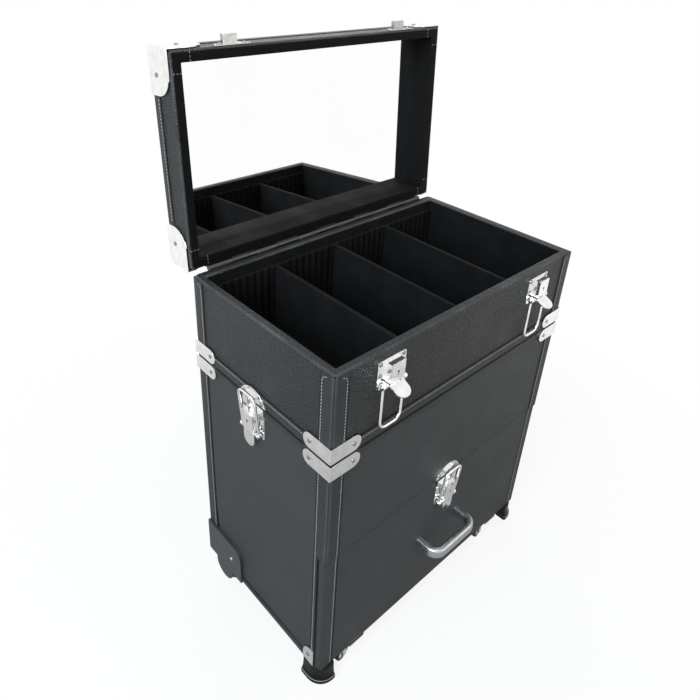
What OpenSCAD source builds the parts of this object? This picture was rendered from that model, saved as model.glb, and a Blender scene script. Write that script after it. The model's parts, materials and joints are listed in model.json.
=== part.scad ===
// Rolling makeup case: a lift-off tray case with a mirrored lid on a wheeled lower case with a drawer.
// Millimetres, +Z up, floor at Z = 0, front faces -Y, X = 0 is the middle of the width.

/* [Case] */
// Outer width of both cases
case_w = 360; // [300:5:440]
// Outer depth of both cases
case_d = 208; // [190:2:280]
// Height of the lower case without its wheels
lower_h = 298; // [270:2:380]
// Height of the upper tray case
upper_h = 92; // [84:1:140]
// Thickness of the covered boards
board_t = 9; // [7:0.5:12]
// Gap between two closed halves of the case
seam_gap = 0.6; // [0.4:0.1:1]

/* [Lid] */
// Outer thickness of the lid
lid_h = 34; // [32:1:44]
// Thickness of the lid's side walls
lid_wall_t = 11; // [8:0.5:14]
// Thickness of the lid's back board
lid_panel_t = 4; // [3:0.5:6]
// Angle at which the lid stands open
lid_open = 93; // [88:1:97]
// Depth of the mirror below the lid's rim
mirror_depth = 25; // [14:1:26]
// Thickness of the mirror glass
mirror_t = 3; // [2:0.5:4]

/* [Hinge] */
// Distance from the case's end to the hinge's end
hinge_inset = 19; // [17:1:40]
// Radius of the hinge knuckles
knuckle_r = 3; // [2.6:0.1:3.4]
// Radius of the hinge pin
hinge_pin_r = 1.5; // [1.2:0.1:1.8]
// Number of knuckles along the hinge
knuckle_count = 11; // [7:2:15]
// Height of a hinge leaf
leaf_h = 15; // [12:1:18]
// Thickness of a hinge leaf
leaf_t = 1.2; // [0.8:0.1:1.4]

/* [Tray] */
// Thickness of the tray's floor board
floor_t = 5; // [4:0.5:8]
// Height of the locating lip under the tray's floor
lip_h = 5; // [4:0.5:8]
// Thickness of a divider
divider_t = 5; // [3:0.5:7]
// Number of dividers
divider_count = 3; // [1:1:5]
// Depth of the dividers' tops below the rim
divider_drop = 14; // [8:1:24]
// Number of divider slots along one compartment
slots_per_bay = 9; // [5:1:10]
// Thickness of a slotted strip without its ribs
slot_back_t = 1.5; // [1:0.1:2]
// Depth of the slots
slot_depth = 2.5; // [2:0.1:4]

/* [Drawer] */
// Height of the drawer's front board
drawer_h = 170; // [150:1:180]
// Gap round the drawer's front board
drawer_gap = 0.8; // [0.6:0.1:1]
// Thickness of the drawer box's sides
drawer_wall_t = 8; // [7:0.5:10]
// Thickness of the drawer box's floor
drawer_floor_t = 5; // [4:0.5:8]
// Height of the drawer box's floor above the bottom of the case
drawer_rise = 22; // [20:1:40]
// Depth of the drawer box's top edge below the top of its front
drawer_drop = 16; // [14:1:30]
// Space between the drawer box and the back board
drawer_back_gap = 10; // [6:1:30]
// Space between the drawer box and the side boards
drawer_side_gap = 6; // [4:0.5:8]
// Height of a drawer rail
rail_h = 8; // [6:0.5:10]
// Depth of the groove that takes the rail
groove_d = 4.5; // [3.5:0.5:5]
// Thickness of the shelf above the drawer
shelf_t = 6; // [5:0.5:9]

/* [Drawer pull] */
// Distance between the pull's feet
pull_span = 68; // [56:1:100]
// Distance that the pull stands out
pull_reach = 30; // [26:1:40]
// Height of the pull's bar
pull_bar_h = 12.5; // [9:0.5:14]
// Thickness of the pull's bar
pull_bar_t = 8.5; // [6:0.5:9]
// Inner radius of the pull's bends
pull_bend_r = 7; // [5:0.5:10]
// Height of the pull above the bottom of the case
pull_rise = 86; // [60:1:95]

/* [Latches] */
// Distance of a front latch's middle from the side of the case
latch_inset = 66; // [64:1:100]
// Distance of a side latch behind the middle of the side
side_latch_y = 5; // [-20:1:20]
// Width of a latch's base plate
latch_w = 35; // [34:0.5:40]
// Height of a latch's base plate
latch_h = 30; // [29:0.5:34]
// Depth of the base plate's top below the seam that it closes
latch_drop = 9; // [9:0.5:12]
// Thickness of the pressed plates
plate_t = 1.2; // [1:0.1:1.4]
// Width of the keyhole cover
cover_w = 17; // [15:0.5:18]
// Height of the keyhole cover
cover_h = 18.5; // [16:0.5:18.5]
// Depth of the keyhole cover's top below the top of the base plate
cover_low = 2.5; // [2:0.1:2.5]
// Distance that the keyhole cover stands out
cover_out = 9; // [8.6:0.1:10]
// Radius of the lock barrel behind the cover
barrel_r = 4; // [3:0.5:5]
// Radius of the lever pin
pin_r = 1.2; // [1:0.1:1.3]
// Distance of the lever pin from the case
pin_out = 4.5; // [4.4:0.1:5]
// Height of the lever pin above the lower edge of the base plate
pin_rise = 5; // [4.5:0.5:5.5]
// Radius of the lever's curl round the pin
curl_r = 2.6; // [2.4:0.1:2.8]
// Length of the lever's thumb tab below the pin
lever_len = 18; // [15:0.5:22]
// Thickness of the lever
lever_t = 1.4; // [1.2:0.1:1.6]
// Angle at which the open front levers stand out
lever_open = 65; // [40:1:90]
// Radius of the bail's wire
wire_r = 1.5; // [0.9:0.1:1.5]
// Radius of the bail's two bends
bail_bend_r = 8; // [6:0.5:10]
// Angle at which a closed bail leans out in front of its hook
bail_lean = 5.5; // [5:0.1:7]
// Height of the hook block
hook_h = 4; // [3.5:0.1:4.4]
// Width of the hook block
hook_w = 16; // [12:0.5:16]
// Distance that the hook block stands out
hook_out = 6.4; // [6:0.1:6.6]
// Distance that the hook block of a lid catch stands out
lid_hook_out = 9.5; // [6:0.1:9.5]
// Width of a catch plate
catch_w = 40; // [36:1:44]
// Height of a catch plate
catch_h = 14; // [12:0.5:16]

/* [Metal corners] */
// Thickness of the chromed sheet
metal_t = 1.2; // [0.8:0.1:1.6]
// Length of a seam bracket's leg
bracket_leg = 34; // [28:1:45]
// Height of a seam bracket
bracket_h = 16.5; // [14:0.5:20]
// Distance of a seam bracket from the seam
bracket_gap = 1.2; // [0.4:0.1:2]
// Length of a lid cap along the lid's back edges
cap_leg = 41; // [34:1:48]
// Radius of a lid cap's rounded ends
cap_round = 20; // [12:1:24]
// Length of a lid cap along the hinge edge
cap_hinge_leg = 15; // [11:1:16]
// Width of the leaf plate over a front foot
foot_plate_w = 16; // [12:0.5:20]
// Height of the leaf plate over a front foot
foot_plate_h = 24; // [20:1:34]
// Radius of a rivet's head
rivet_r = 2.2; // [1.8:0.1:2.6]
// Height of a rivet's head
rivet_h = 1; // [0.8:0.1:1.4]

/* [Binding] */
// Thickness of the sewn binding
trim_t = 0.8; // [0.6:0.1:1.2]
// Width of the binding at the upright corners
strip_w = 16; // [12:1:20]
// Height of the binding along the upper case's bottom
upper_strip_h = 12; // [10:0.5:14]
// Height of the binding along the lower case's top
lower_strip_h = 8; // [6:0.5:8.5]
// Height of the binding along the lower case's bottom
base_strip_h = 7; // [6:0.5:10]
// Height of the binding on the lid's sides
lid_strip_h = 10; // [8:0.5:12]

/* [Rear wheels] */
// Height of the case's bottom above the floor
floor_gap = 26; // [25:0.5:30]
// Radius of a rear wheel
wheel_r = 20; // [18:0.5:22]
// Width of a rear wheel
wheel_w = 20; // [16:0.5:24]
// Distance of the wheel's axle from the rear of the case
wheel_inset = 32.5; // [32.5:0.5:36]
// Radius of the wheel's axle
axle_r = 3.5; // [3:0.5:4.5]
// Width of the wheel housing's outer plate
housing_w = 68; // [62:1:80]
// Height of the wheel housing above the case's bottom
housing_h = 48; // [44:1:60]
// Thickness of the wheel housing's outer plate
housing_t = 3.5; // [2.5:0.5:5]
// Thickness of the wheel housing's liner
liner_t = 1.6; // [1.2:0.1:1.6]
// Distance that a wheel shows below its housing's plate
wheel_show = 3.5; // [2:0.5:8]
// Distance of the housing's rivet behind its front edge
housing_rivet = 19; // [14:1:24]
// Clearance round a rear wheel
wheel_gap = 1.2; // [0.8:0.1:1.6]

/* [Front feet and casters] */
// Length of a front foot along the side of the case
foot_leg = 26; // [24:1:36]
// Length of a front foot along the front
foot_front = 20; // [18:1:30]
// Distance that a foot's sole stands out past the case
foot_flare = 5; // [3:0.5:8]
// Height of a foot's flared sole
foot_sole = 7; // [5:0.5:12]
// Radius of a foot's outer corner
foot_round = 15; // [6:1:16]
// Distance that a foot's top stands out past the case
foot_lip = 2; // [1:0.5:3]
// Height of a foot's sole above the floor
foot_clear = 1; // [0.6:0.1:2]
// Distance of a caster from the case's end
caster_inset_x = 54; // [54:1:80]
// Distance of a caster from the case's front
caster_inset_y = 12; // [12:1:40]
// Radius of a caster's wheel
caster_r = 10.5; // [9:0.5:10.5]
// Width of a caster's wheel
caster_w = 9; // [7:0.5:11]
// Distance of a caster's axle from its stem
caster_trail = 15; // [7:0.5:18]
// Radius of a caster's stem
stem_r = 3; // [2.5:0.1:3.5]
// Side of a caster's square plate
caster_plate = 26; // [24:1:32]
// Angle by which the standing casters are turned to the left
caster_turn = 80; // [0:5:90]

/* [Pull handle] */
// Distance between the two handle tubes
handle_span = 110; // [90:2:150]
// Depth of the fixed tubes' top below the top of the lower case
handle_drop = 68; // [64:1:98]
// Height of the fixed tubes' lower end above the bottom of the case
tube_rise = 24; // [16:1:40]
// Radius of a fixed tube
tube_r = 8; // [7.5:0.1:9]
// Wall of a fixed tube
tube_wall = 1.4; // [1:0.1:1.8]
// Wall of a sliding tube
rod_wall = 1.2; // [0.8:0.1:1.6]
// Distance of the tubes' axis from the back of the case
handle_stand = 13; // [12.5:0.5:16]
// Height of the hand grip
grip_h = 24; // [20:1:28]
// Length of the hand grip past each tube
grip_over = 12; // [6:1:18]
// Thickness of the hand grip
grip_t = 22; // [19:1:24]
// Length of the grip's release button
button_w = 26; // [20:1:36]
// Travel of the release button
button_travel = 2.2; // [1.5:0.1:3]

/* [Fits] */
// Radial clearance of a pin in its hole
run_gap = 0.05; // [0.03:0.01:0.08]
// Clearance of pieces that slide past each other
slide_gap = 0.4; // [0.3:0.05:0.6]

/* [Hidden] */
$fn = 48;
half_w = case_w / 2;
inner_half_w = half_w - board_t;
z_base = floor_gap;
z_seam = z_base + lower_h;
z_upper = z_seam + seam_gap;
z_rim = z_upper + upper_h;
z_lid = z_rim + seam_gap;
z_lid_back = z_lid + lid_h;
z_drawer_top = z_base + drawer_h;
z_shelf = z_drawer_top + drawer_gap;
// The hinge axis lies behind the rear face, level with the middle of the rim's seam.
hinge_out = knuckle_r + slide_gap;
z_hinge = z_rim + seam_gap / 2;
skin_t = trim_t + metal_t;
lid_arm = case_d + hinge_out + skin_t;
lid_rise = lid_h + seam_gap / 2 + skin_t;
lid_reach = hinge_out - lid_arm * cos(lid_open) + lid_rise * sin(lid_open);
// The frame's Y = 0 is the middle of the whole object, from the pull to the open lid's back.
y_mid = (pull_reach - lid_reach) / 2;
y_front = y_mid - case_d / 2;
y_rear = y_mid + case_d / 2;
y_hinge = y_rear + hinge_out;
y_inner_front = y_front + board_t;
y_inner_rear = y_rear - board_t;
inner_w = 2 * inner_half_w;
y_drawer_back = y_inner_front + slide_gap;
z_tray = z_upper + floor_t;
z_divider = z_rim - divider_drop;
bay_w = inner_w / (divider_count + 1);
slot_pitch = bay_w / slots_per_bay;
slot_count = slots_per_bay * (divider_count + 1);
rib_w = slot_pitch - divider_t - 0.2;
hinge_len = case_w - 2 * hinge_inset;
knuckle_len = hinge_len / knuckle_count;
// Latch places: v is the height over the seam, n the distance from the case.
pin_v = -latch_drop - latch_h + pin_rise;
latch_x = case_w / 2 - latch_inset;
cover_v = -latch_drop - cover_low;
key_v = cover_v - cover_h / 2;
catch_rise = 1.2;
hook_v = catch_rise + 4.4;
hook_lip = 0.5;
bail_len = hook_v + hook_h + hook_lip + 1.2 + wire_r - pin_v;
ear_t = plate_t;
ear_u = cover_w / 2 + 1.4;
eye_half = wire_r + 0.2;
bail_u = ear_u + ear_t + slide_gap + eye_half;
pin_len = 2 * (bail_u + eye_half + 0.5);
rivet_edge = rivet_r + 1;
lid_inner_w = case_w - 2 * lid_wall_t;
z_lower_bracket = z_seam - bracket_gap - bracket_h;
box_half_w = inner_half_w - drawer_side_gap;
z_box = z_base + drawer_rise;
z_box_top = z_drawer_top - drawer_drop;
y_box_back = y_inner_rear - drawer_back_gap;
z_rail = (z_box + z_box_top) / 2;
y_wheel = y_rear - wheel_inset;
z_wheel = wheel_r;
well_r = wheel_r + wheel_gap;
liner_r = well_r + liner_t;
wheel_x = half_w - wheel_gap - wheel_w / 2;
well_w = wheel_w + 2 * wheel_gap;
// The axle ends in a blind hole of the housing's plate.
x_axle = 1.2 - half_w - housing_t;
caster_x = half_w - caster_inset_x;
y_caster = y_front + caster_inset_y;
plate_low = z_base - 1.5;
fork_low = plate_low - slide_gap - 1.5;
cheek_t = 1.4;
z_handle_top = z_seam - handle_drop;
z_tube_low = z_base + tube_rise;
y_tube = y_rear + handle_stand;
rod_r = tube_r - tube_wall - run_gap;
z_grip = z_handle_top + slide_gap + 0.4;
channel_t = 2.5;
collar_h = 22;
grip_w = handle_span + 2 * (tube_r + grip_over);
button_t = 10;
button_h = 8;
leather = "#2c2d30";
lining = "#161617";
chrome = "#d4d6d9";
black = "#101113";

// A box given by its lowest and highest corner
module span(low, high) {
  translate(low) cube(high - low);
}

// The same piece on the left and, mirrored, on the right
module both_sides() {
  children();
  mirror([1, 0, 0]) children();
}

// A rectangle with four rounded corners, centred
module rounded_plate(w, h, r) {
  square([w - 2 * r, h], center = true);
  square([w, h - 2 * r], center = true);
  for (x = [-1, 1], y = [-1, 1]) translate([x * (w / 2 - r), y * (h / 2 - r)]) circle(r);
}

// A rectangle from the origin whose far corner is rounded
module round_far_corner(w, h, r) {
  difference() {
    square([w, h]);
    translate([w - r, h - r]) difference() {
      square(r + 1);
      circle(r);
    }
  }
}

// A flat shape stood up on the front face, thickness t outwards
module stand_up(t) {
  rotate([90, 0, 0]) linear_extrude(t) children();
}

// Faces of the case: children are drawn facing -Y with the seam at Z = 0
module on_front(x, z) {
  translate([x, y_front, z]) children();
}

module on_left(z) {
  translate([-half_w, y_mid + side_latch_y, z]) rotate([0, 0, -90]) children();
}

module on_right(z) {
  translate([half_w, y_mid + side_latch_y, z]) rotate([0, 0, 90]) children();
}

// The lid is drawn closed and swung open about the hinge
module swung_open() {
  translate([0, y_hinge, z_hinge]) rotate([-lid_open, 0, 0]) translate([0, -y_hinge, -z_hinge]) children();
}

// A domed rivet head that stands out along -Y
module rivet() {
  rotate([90, 0, 0]) rotate_extrude()
    polygon([[0, 0], [rivet_r, 0], [rivet_r, rivet_h * 0.4], [rivet_r * 0.6, rivet_h], [0, rivet_h]]);
}

// Latch base: plate, boxed keyhole cover, lock barrel, two ears and the pin in them
module latch_base() {
  translate([0, 0, -latch_drop - latch_h / 2]) stand_up(plate_t) rounded_plate(latch_w, latch_h, 3);
  difference() {
    span([-cover_w / 2, -cover_out, cover_v - cover_h], [cover_w / 2, -plate_t, cover_v]);
    span([plate_t - cover_w / 2, plate_t - cover_out, cover_v - cover_h - 1],
      [cover_w / 2 - plate_t, 0, cover_v - plate_t]);
    translate([0, -cover_out - 1, key_v]) rotate([-90, 0, 0]) cylinder(r = 1.3, h = 4);
    span([-0.5, -cover_out - 1, key_v - 3.2], [0.5, 3 - cover_out, key_v]);
  }
  translate([0, -plate_t, key_v]) rotate([90, 0, 0]) cylinder(r = barrel_r, h = cover_out - 4);
  for (side = [-1, 1]) translate([side * (ear_u + ear_t / 2), 0, 0]) {
    span([-ear_t / 2, -pin_out, pin_v - curl_r], [ear_t / 2, -plate_t, pin_v + curl_r]);
    translate([-ear_t / 2, -pin_out, pin_v]) rotate([0, 90, 0]) cylinder(r = curl_r, h = ear_t);
  }
  translate([-pin_len / 2, -pin_out, pin_v]) rotate([0, 90, 0]) cylinder(r = pin_r, h = pin_len);
}

// Plate that carries a closed latch's base up over the binding to the seam
module latch_step() {
  span([1 - latch_w / 2, -trim_t - plate_t, rivet_r - rivet_edge - latch_drop + 0.1],
    [latch_w / 2 - 1, -trim_t, -catch_rise]);
}

// The four rivets of a latch base
module latch_rivets() {
  for (side = [-1, 1], v = [-latch_drop - rivet_edge, -latch_drop - latch_h / 2])
    translate([side * (latch_w / 2 - rivet_edge), -plate_t, v]) rivet();
}

// Thumb lever at the pin, turned out by angle from its closed place
module lever(angle) {
  tab_w = cover_w;
  curl_half = ear_u - slide_gap;
  translate([0, -pin_out, pin_v]) rotate([-angle, 0, 0]) difference() {
    union() {
      translate([-curl_half, 0, 0]) rotate([0, 90, 0]) cylinder(r = curl_r, h = 2 * curl_half);
      translate([0, -curl_r + lever_t, 0]) stand_up(lever_t) {
        translate([-tab_w / 2, tab_w / 2 - lever_len]) square([tab_w, lever_len - tab_w / 2]);
        translate([0, tab_w / 2 - lever_len]) circle(tab_w / 2);
      }
    }
    translate([-pin_len / 2, 0, 0]) rotate([0, 90, 0]) cylinder(r = pin_r + run_gap, h = pin_len);
  }
}

// Wire bail on the pin: an eye, a leg and a bend on each side and a bar across the end
module bail(angle) {
  eye_r = pin_r + 1.6;
  translate([0, -pin_out, pin_v]) rotate([angle, 0, 0]) difference() {
    union() {
      for (side = [0, 1]) mirror([side, 0, 0]) {
        translate([bail_u - eye_half, 0, 0]) rotate([0, 90, 0]) cylinder(r = eye_r, h = 2 * eye_half);
        translate([bail_u, 0, 0]) cylinder(r = wire_r, h = bail_len - bail_bend_r);
        translate([bail_u - bail_bend_r, 0, bail_len - bail_bend_r]) rotate([90, 0, 0])
          rotate_extrude(angle = 90) translate([bail_bend_r, 0]) circle(wire_r);
      }
      translate([bail_bend_r - bail_u, 0, bail_len]) rotate([0, 90, 0])
        cylinder(r = wire_r, h = 2 * (bail_u - bail_bend_r));
    }
    translate([-pin_len / 2 - 1, 0, 0]) rotate([0, 90, 0]) cylinder(r = pin_r + run_gap, h = pin_len + 2);
  }
}

// Catch: an arched plate with a hook block, lifted off the case by the binding under it
module catch(lift, out) {
  arc_r = (catch_w * catch_w / 4 + catch_h * catch_h) / (2 * catch_h);
  translate([0, -lift, catch_rise]) stand_up(plate_t) intersection() {
    translate([0, catch_h - arc_r]) circle(arc_r);
    translate([-catch_w / 2, 0]) square([catch_w, catch_h]);
  }
  span([-hook_w / 2, -out, hook_v], [hook_w / 2, -lift - plate_t / 2, hook_v + hook_h]);
  span([-hook_w / 2, -out, hook_v], [hook_w / 2, 1.2 - out, hook_v + hook_h + hook_lip]);
}

module catch_rivets(lift) {
  for (side = [-1, 1])
    translate([side * (catch_w / 2 - 6), -lift - plate_t, catch_rise + rivet_edge]) rivet();
}

// One leg of a seam bracket with a round end, from the corner along +X
module bracket_leg_shape() {
  square([bracket_leg - bracket_h / 2, bracket_h]);
  translate([bracket_leg - bracket_h / 2, bracket_h / 2]) circle(bracket_h / 2);
}

// Seam bracket at the front left corner, its lower edge at Z = 0
module seam_bracket() {
  translate([-half_w, y_front, 0]) {
    for (swap = [0, 1]) mirror(swap * [1, -1, 0])
      translate([0, -trim_t, 0]) stand_up(metal_t) bracket_leg_shape();
    span([-skin_t, -skin_t, 0], [0, -trim_t, bracket_h]);
    span([-skin_t, -skin_t, 0], [-trim_t, 0, bracket_h]);
  }
}

module seam_bracket_rivets() {
  at = bracket_leg - bracket_h / 2;
  translate([-half_w, y_front, bracket_h / 2])
    for (swap = [0, 1]) mirror(swap * [1, -1, 0]) translate([at, -skin_t, 0]) rivet();
}

// A front left corner piece, repeated at all four upright corners
module four_corners() {
  both_sides() {
    children();
    translate([0, 2 * y_mid, 0]) mirror([0, 1, 0]) children();
  }
}

// Upright binding round the front left corner
module corner_strip(low, high) {
  translate([-half_w, y_front, 0]) difference() {
    span([-trim_t, -trim_t, low], [strip_w, strip_w, high]);
    span([0, 0, low - 1], [strip_w + 1, strip_w + 1, high + 1]);
  }
}

// Binding that runs round the whole case
module strip_ring(low, high) {
  difference() {
    span([-half_w - trim_t, y_front - trim_t, low], [half_w + trim_t, y_rear + trim_t, high]);
    span([-half_w, y_front, low - 1], [half_w, y_rear, high + 1]);
  }
}

// Outline of the wheel housing's plate, in the Y and Z of the case
module housing_shape() {
  drop = 1.5;
  translate([y_rear, z_base - drop]) mirror([1, 0]) round_far_corner(housing_w, housing_h + drop, 15);
  translate([y_wheel, z_wheel]) circle(wheel_r - wheel_show);
}

// A flat shape drawn in Y and Z, extruded along +X from x
module across(x, t) {
  translate([x, 0, 0]) rotate([90, 0, 90]) linear_extrude(t) children();
}

module wheel_cylinder(x, r, h) {
  translate([x, y_wheel, z_wheel]) rotate([0, 90, 0]) cylinder(r = r, h = h);
}

module lower_side_panels() color(leather) both_sides() difference() {
  span([-half_w, y_front, z_base], [-inner_half_w, y_rear, z_seam]);
  span([-half_w - 1, y_front - 1, z_base - 1], [1 - inner_half_w, y_drawer_back, z_shelf]);
  wheel_cylinder(-half_w - 1, liner_r + slide_gap, board_t + 2);
}

module lower_back_panel() color(leather)
  span([-inner_half_w, y_inner_rear, z_base], [inner_half_w, y_rear, z_seam]);

module lower_bottom_panel() color(leather) difference() {
  span([-inner_half_w, y_drawer_back, z_base], [inner_half_w, y_inner_rear, z_base + board_t]);
  both_sides() span([-half_w, y_wheel - liner_r - slide_gap, z_base - 1],
    [well_w + liner_t + slide_gap - half_w, y_rear, z_base + board_t + 1]);
}

module lower_shelf() color(lining)
  span([-inner_half_w, y_inner_front, z_shelf], [inner_half_w, y_inner_rear, z_shelf + shelf_t]);

module lower_front_panel() color(leather)
  span([-inner_half_w, y_front, z_shelf], [inner_half_w, y_inner_front, z_seam]);

module lower_trim() color(leather) {
  strip_ring(z_seam - lower_strip_h, z_seam);
  both_sides() {
    difference() {
      corner_strip(z_base, z_seam - lower_strip_h);
      span([-half_w - strip_w, y_front - strip_w, z_base - 1], [0, y_drawer_back, z_shelf]);
    }
    translate([0, 2 * y_mid, 0]) mirror([0, 1, 0])
      corner_strip(z_base + housing_h + slide_gap, z_seam - lower_strip_h);
    span([-half_w - trim_t, y_front + strip_w, z_base],
      [-half_w, y_rear - housing_w - slide_gap, z_base + base_strip_h]);
  }
}

// Leaf plate over a front foot, on the side face behind the drawer's front
module foot_plate() {
  translate([-half_w - trim_t, y_drawer_back + slide_gap, z_base]) rotate([0, 0, -90]) mirror([1, 0, 0])
    stand_up(metal_t) round_far_corner(foot_plate_w, foot_plate_h, foot_plate_w - 3);
}

module lower_brackets() color(chrome) {
  translate([0, 0, z_lower_bracket]) four_corners() seam_bracket();
  both_sides() foot_plate();
}

module lower_rivets() color(chrome) {
  translate([0, 0, z_lower_bracket]) four_corners() seam_bracket_rivets();
  both_sides() {
    translate([-half_w - skin_t, y_drawer_back + slide_gap + foot_plate_w / 2, z_base + foot_plate_h / 2])
      rotate([0, 0, -90]) rivet();
    translate([-half_w - housing_t, y_rear - housing_w + housing_rivet, z_base + housing_h / 2])
      rotate([0, 0, -90]) rivet();
  }
  on_left(z_seam) latch_rivets();
  on_right(z_seam) latch_rivets();
  on_front(0, z_drawer_top) catch_rivets(0);
}

// Corner foot: a flared sole, a narrower block and a pad that meets the bottom board
module corner_foot() {
  corner = [-half_w, y_front];
  module footprint(out, h) {
    translate([corner[0] - out, corner[1] - out, foot_clear]) linear_extrude(h)
      round_front_corner(foot_front + out, foot_leg + out, foot_round + out);
  }
  module round_front_corner(w, d, r) {
    translate([w, d]) rotate(180) round_far_corner(w, d, r);
  }
  footprint(foot_flare, foot_sole);
  footprint(foot_lip, z_base - drawer_gap - foot_clear);
  span([corner[0] + board_t, y_drawer_back, z_base - drawer_gap - 1],
    [corner[0] + foot_front, corner[1] + foot_leg, z_base]);
}

module front_feet() color(black) both_sides() corner_foot();

module wheel_housings() color(black) both_sides() difference() {
  union() {
    across(-half_w - housing_t, housing_t) housing_shape();
    intersection() {
      difference() {
        wheel_cylinder(-half_w - housing_t / 2, liner_r, well_w + liner_t + housing_t / 2);
        wheel_cylinder(-half_w - housing_t, well_r, well_w + housing_t);
      }
      span([-half_w - housing_t, y_wheel - liner_r, z_base], [0, y_wheel + liner_r, z_base + liner_r]);
    }
    across(well_w - half_w, liner_t) {
      translate([y_wheel - axle_r - 6, z_wheel]) square([2 * axle_r + 12, wheel_r / 2]);
      translate([y_wheel, z_wheel]) circle(axle_r + 6);
    }
  }
  wheel_cylinder(x_axle, axle_r + run_gap, case_w / 4);
}

module wheel_axles() color(chrome) both_sides() {
  wheel_cylinder(x_axle, axle_r, well_w + liner_t + 1 - half_w - x_axle);
}

module side_latch_bases() color(chrome) {
  on_left(z_seam) {
    latch_base();
    latch_step();
  }
  on_right(z_seam) {
    latch_base();
    latch_step();
  }
}

module drawer_catch() color(chrome) on_front(0, z_drawer_top) catch(0, hook_out);

module drawer_rails() color("#8d9094") both_sides()
  span([-inner_half_w, y_drawer_back, z_rail - rail_h / 2],
    [groove_d - slide_gap - box_half_w, y_inner_rear, z_rail + rail_h / 2]);

module tube_pair(r, low, high) {
  for (side = [-1, 1]) translate([side * handle_span / 2, y_tube, low]) cylinder(r = r, h = high - low);
}

module handle_channel() color(black) difference() {
  union() {
    span([-grip_w / 2, y_rear, z_tube_low - 6], [grip_w / 2, y_rear + channel_t, z_handle_top]);
    for (z = [z_tube_low - 6, z_handle_top - collar_h])
      for (side = [-1, 1]) translate([side * handle_span / 2, 0, 0])
        span([-tube_r - 4, y_rear, z], [tube_r + 4, y_tube + tube_r + 3, z + collar_h]);
  }
  tube_pair(tube_r + run_gap, z_tube_low, z_handle_top + 1);
}

module handle_outer_tubes() color("#b9bcc0") difference() {
  tube_pair(tube_r, z_tube_low, z_handle_top);
  tube_pair(tube_r - tube_wall, z_tube_low + 2, z_handle_top + 1);
}

module caster_plates() color(chrome) both_sides() translate([-caster_x, y_caster, 0]) {
  translate([0, 0, plate_low]) linear_extrude(z_base - plate_low)
    rounded_plate(caster_plate, caster_plate, 4);
  translate([0, 0, fork_low - 0.2]) cylinder(r = stem_r, h = plate_low - fork_low + 0.2);
  translate([0, 0, fork_low - 1.4]) cylinder(r = stem_r + 1, h = 1.2);
}

module upper_walls() color(leather) difference() {
  span([-half_w, y_front, z_upper], [half_w, y_rear, z_rim]);
  span([-inner_half_w, y_inner_front, z_upper - 1], [inner_half_w, y_inner_rear, z_rim + 1]);
}

module tray_floor() color(lining) {
  span([-inner_half_w, y_inner_front, z_upper], [inner_half_w, y_inner_rear, z_upper + floor_t]);
  span([slide_gap - inner_half_w, y_inner_front + slide_gap, z_seam - lip_h],
    [inner_half_w - slide_gap, y_inner_rear - slide_gap, z_upper]);
}

module tray_dividers() color(lining) for (i = [1:divider_count])
  translate([i * bay_w - inner_half_w - divider_t / 2, 0, 0])
    span([0, y_inner_front + slot_back_t, z_tray], [divider_t, y_inner_rear - slot_back_t, z_divider]);

// Slotted strip along the front inner wall: a thin back with a rib between each two slots
module slot_strip() {
  span([-inner_half_w, y_inner_front, z_tray], [inner_half_w, y_inner_front + slot_back_t, z_divider]);
  for (i = [0:slot_count - 1]) translate([(i + 0.5) * slot_pitch - inner_half_w - rib_w / 2, 0, 0])
    span([0, y_inner_front, z_tray], [rib_w, y_inner_front + slot_back_t + slot_depth, z_divider]);
}

module slot_strips() color(lining) {
  slot_strip();
  translate([0, 2 * y_mid, 0]) mirror([0, 1, 0]) slot_strip();
}

module upper_trim() color(leather) {
  strip_ring(z_upper, z_upper + upper_strip_h);
  four_corners() corner_strip(z_upper + upper_strip_h, z_rim);
}

module upper_brackets() color(chrome) translate([0, 0, z_upper + bracket_gap]) four_corners() seam_bracket();

module upper_rivets() color(chrome) {
  translate([0, 0, z_upper + bracket_gap]) four_corners() seam_bracket_rivets();
  on_left(z_seam) catch_rivets(trim_t);
  on_right(z_seam) catch_rivets(trim_t);
  for (side = [-1, 1]) on_front(side * latch_x, z_rim) latch_rivets();
}

module side_catches() color(chrome) {
  on_left(z_seam) catch(trim_t, hook_out);
  on_right(z_seam) catch(trim_t, hook_out);
}

module front_latch_bases() color(chrome) for (side = [-1, 1]) on_front(side * latch_x, z_rim) latch_base();

// A hinge leaf below the axis; first is the number of its first knuckle
module hinge_leaf(first) {
  clear = knuckle_r + slide_gap;
  difference() {
    union() {
      span([-hinge_len / 2, y_rear, z_hinge - leaf_h], [hinge_len / 2, y_rear + leaf_t, z_hinge - clear]);
      for (i = [first:2:knuckle_count - 1])
        translate([i * knuckle_len - hinge_len / 2 + slide_gap / 2, 0, 0]) {
          span([0, y_rear, z_hinge - clear], [knuckle_len - slide_gap, y_rear + leaf_t, z_hinge]);
          translate([0, y_hinge, z_hinge]) rotate([0, 90, 0])
            cylinder(r = knuckle_r, h = knuckle_len - slide_gap);
        }
    }
    translate([-hinge_len / 2 - 1, y_hinge, z_hinge]) rotate([0, 90, 0])
      cylinder(r = hinge_pin_r + run_gap, h = hinge_len + 2);
    span([-hinge_len, y_front, z_rim], [hinge_len, y_rear + slide_gap, z_rim + leaf_h]);
  }
}

module hinge_lower_leaf() color(chrome) hinge_leaf(0);

module hinge_pin() color(chrome) translate([-hinge_len / 2, y_hinge, z_hinge]) rotate([0, 90, 0])
  cylinder(r = hinge_pin_r, h = hinge_len);

module hinge_upper_leaf() color(chrome) swung_open()
  translate([0, 0, 2 * z_hinge]) mirror([0, 0, 1]) hinge_leaf(1);

module lid_panel() color(leather) swung_open()
  span([-half_w, y_front, z_lid_back - lid_panel_t], [half_w, y_rear, z_lid_back]);

module lid_walls() color(leather) swung_open() difference() {
  span([-half_w, y_front, z_lid], [half_w, y_rear, z_lid_back - lid_panel_t]);
  lid_layer(-1, lid_h);
}

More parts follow.
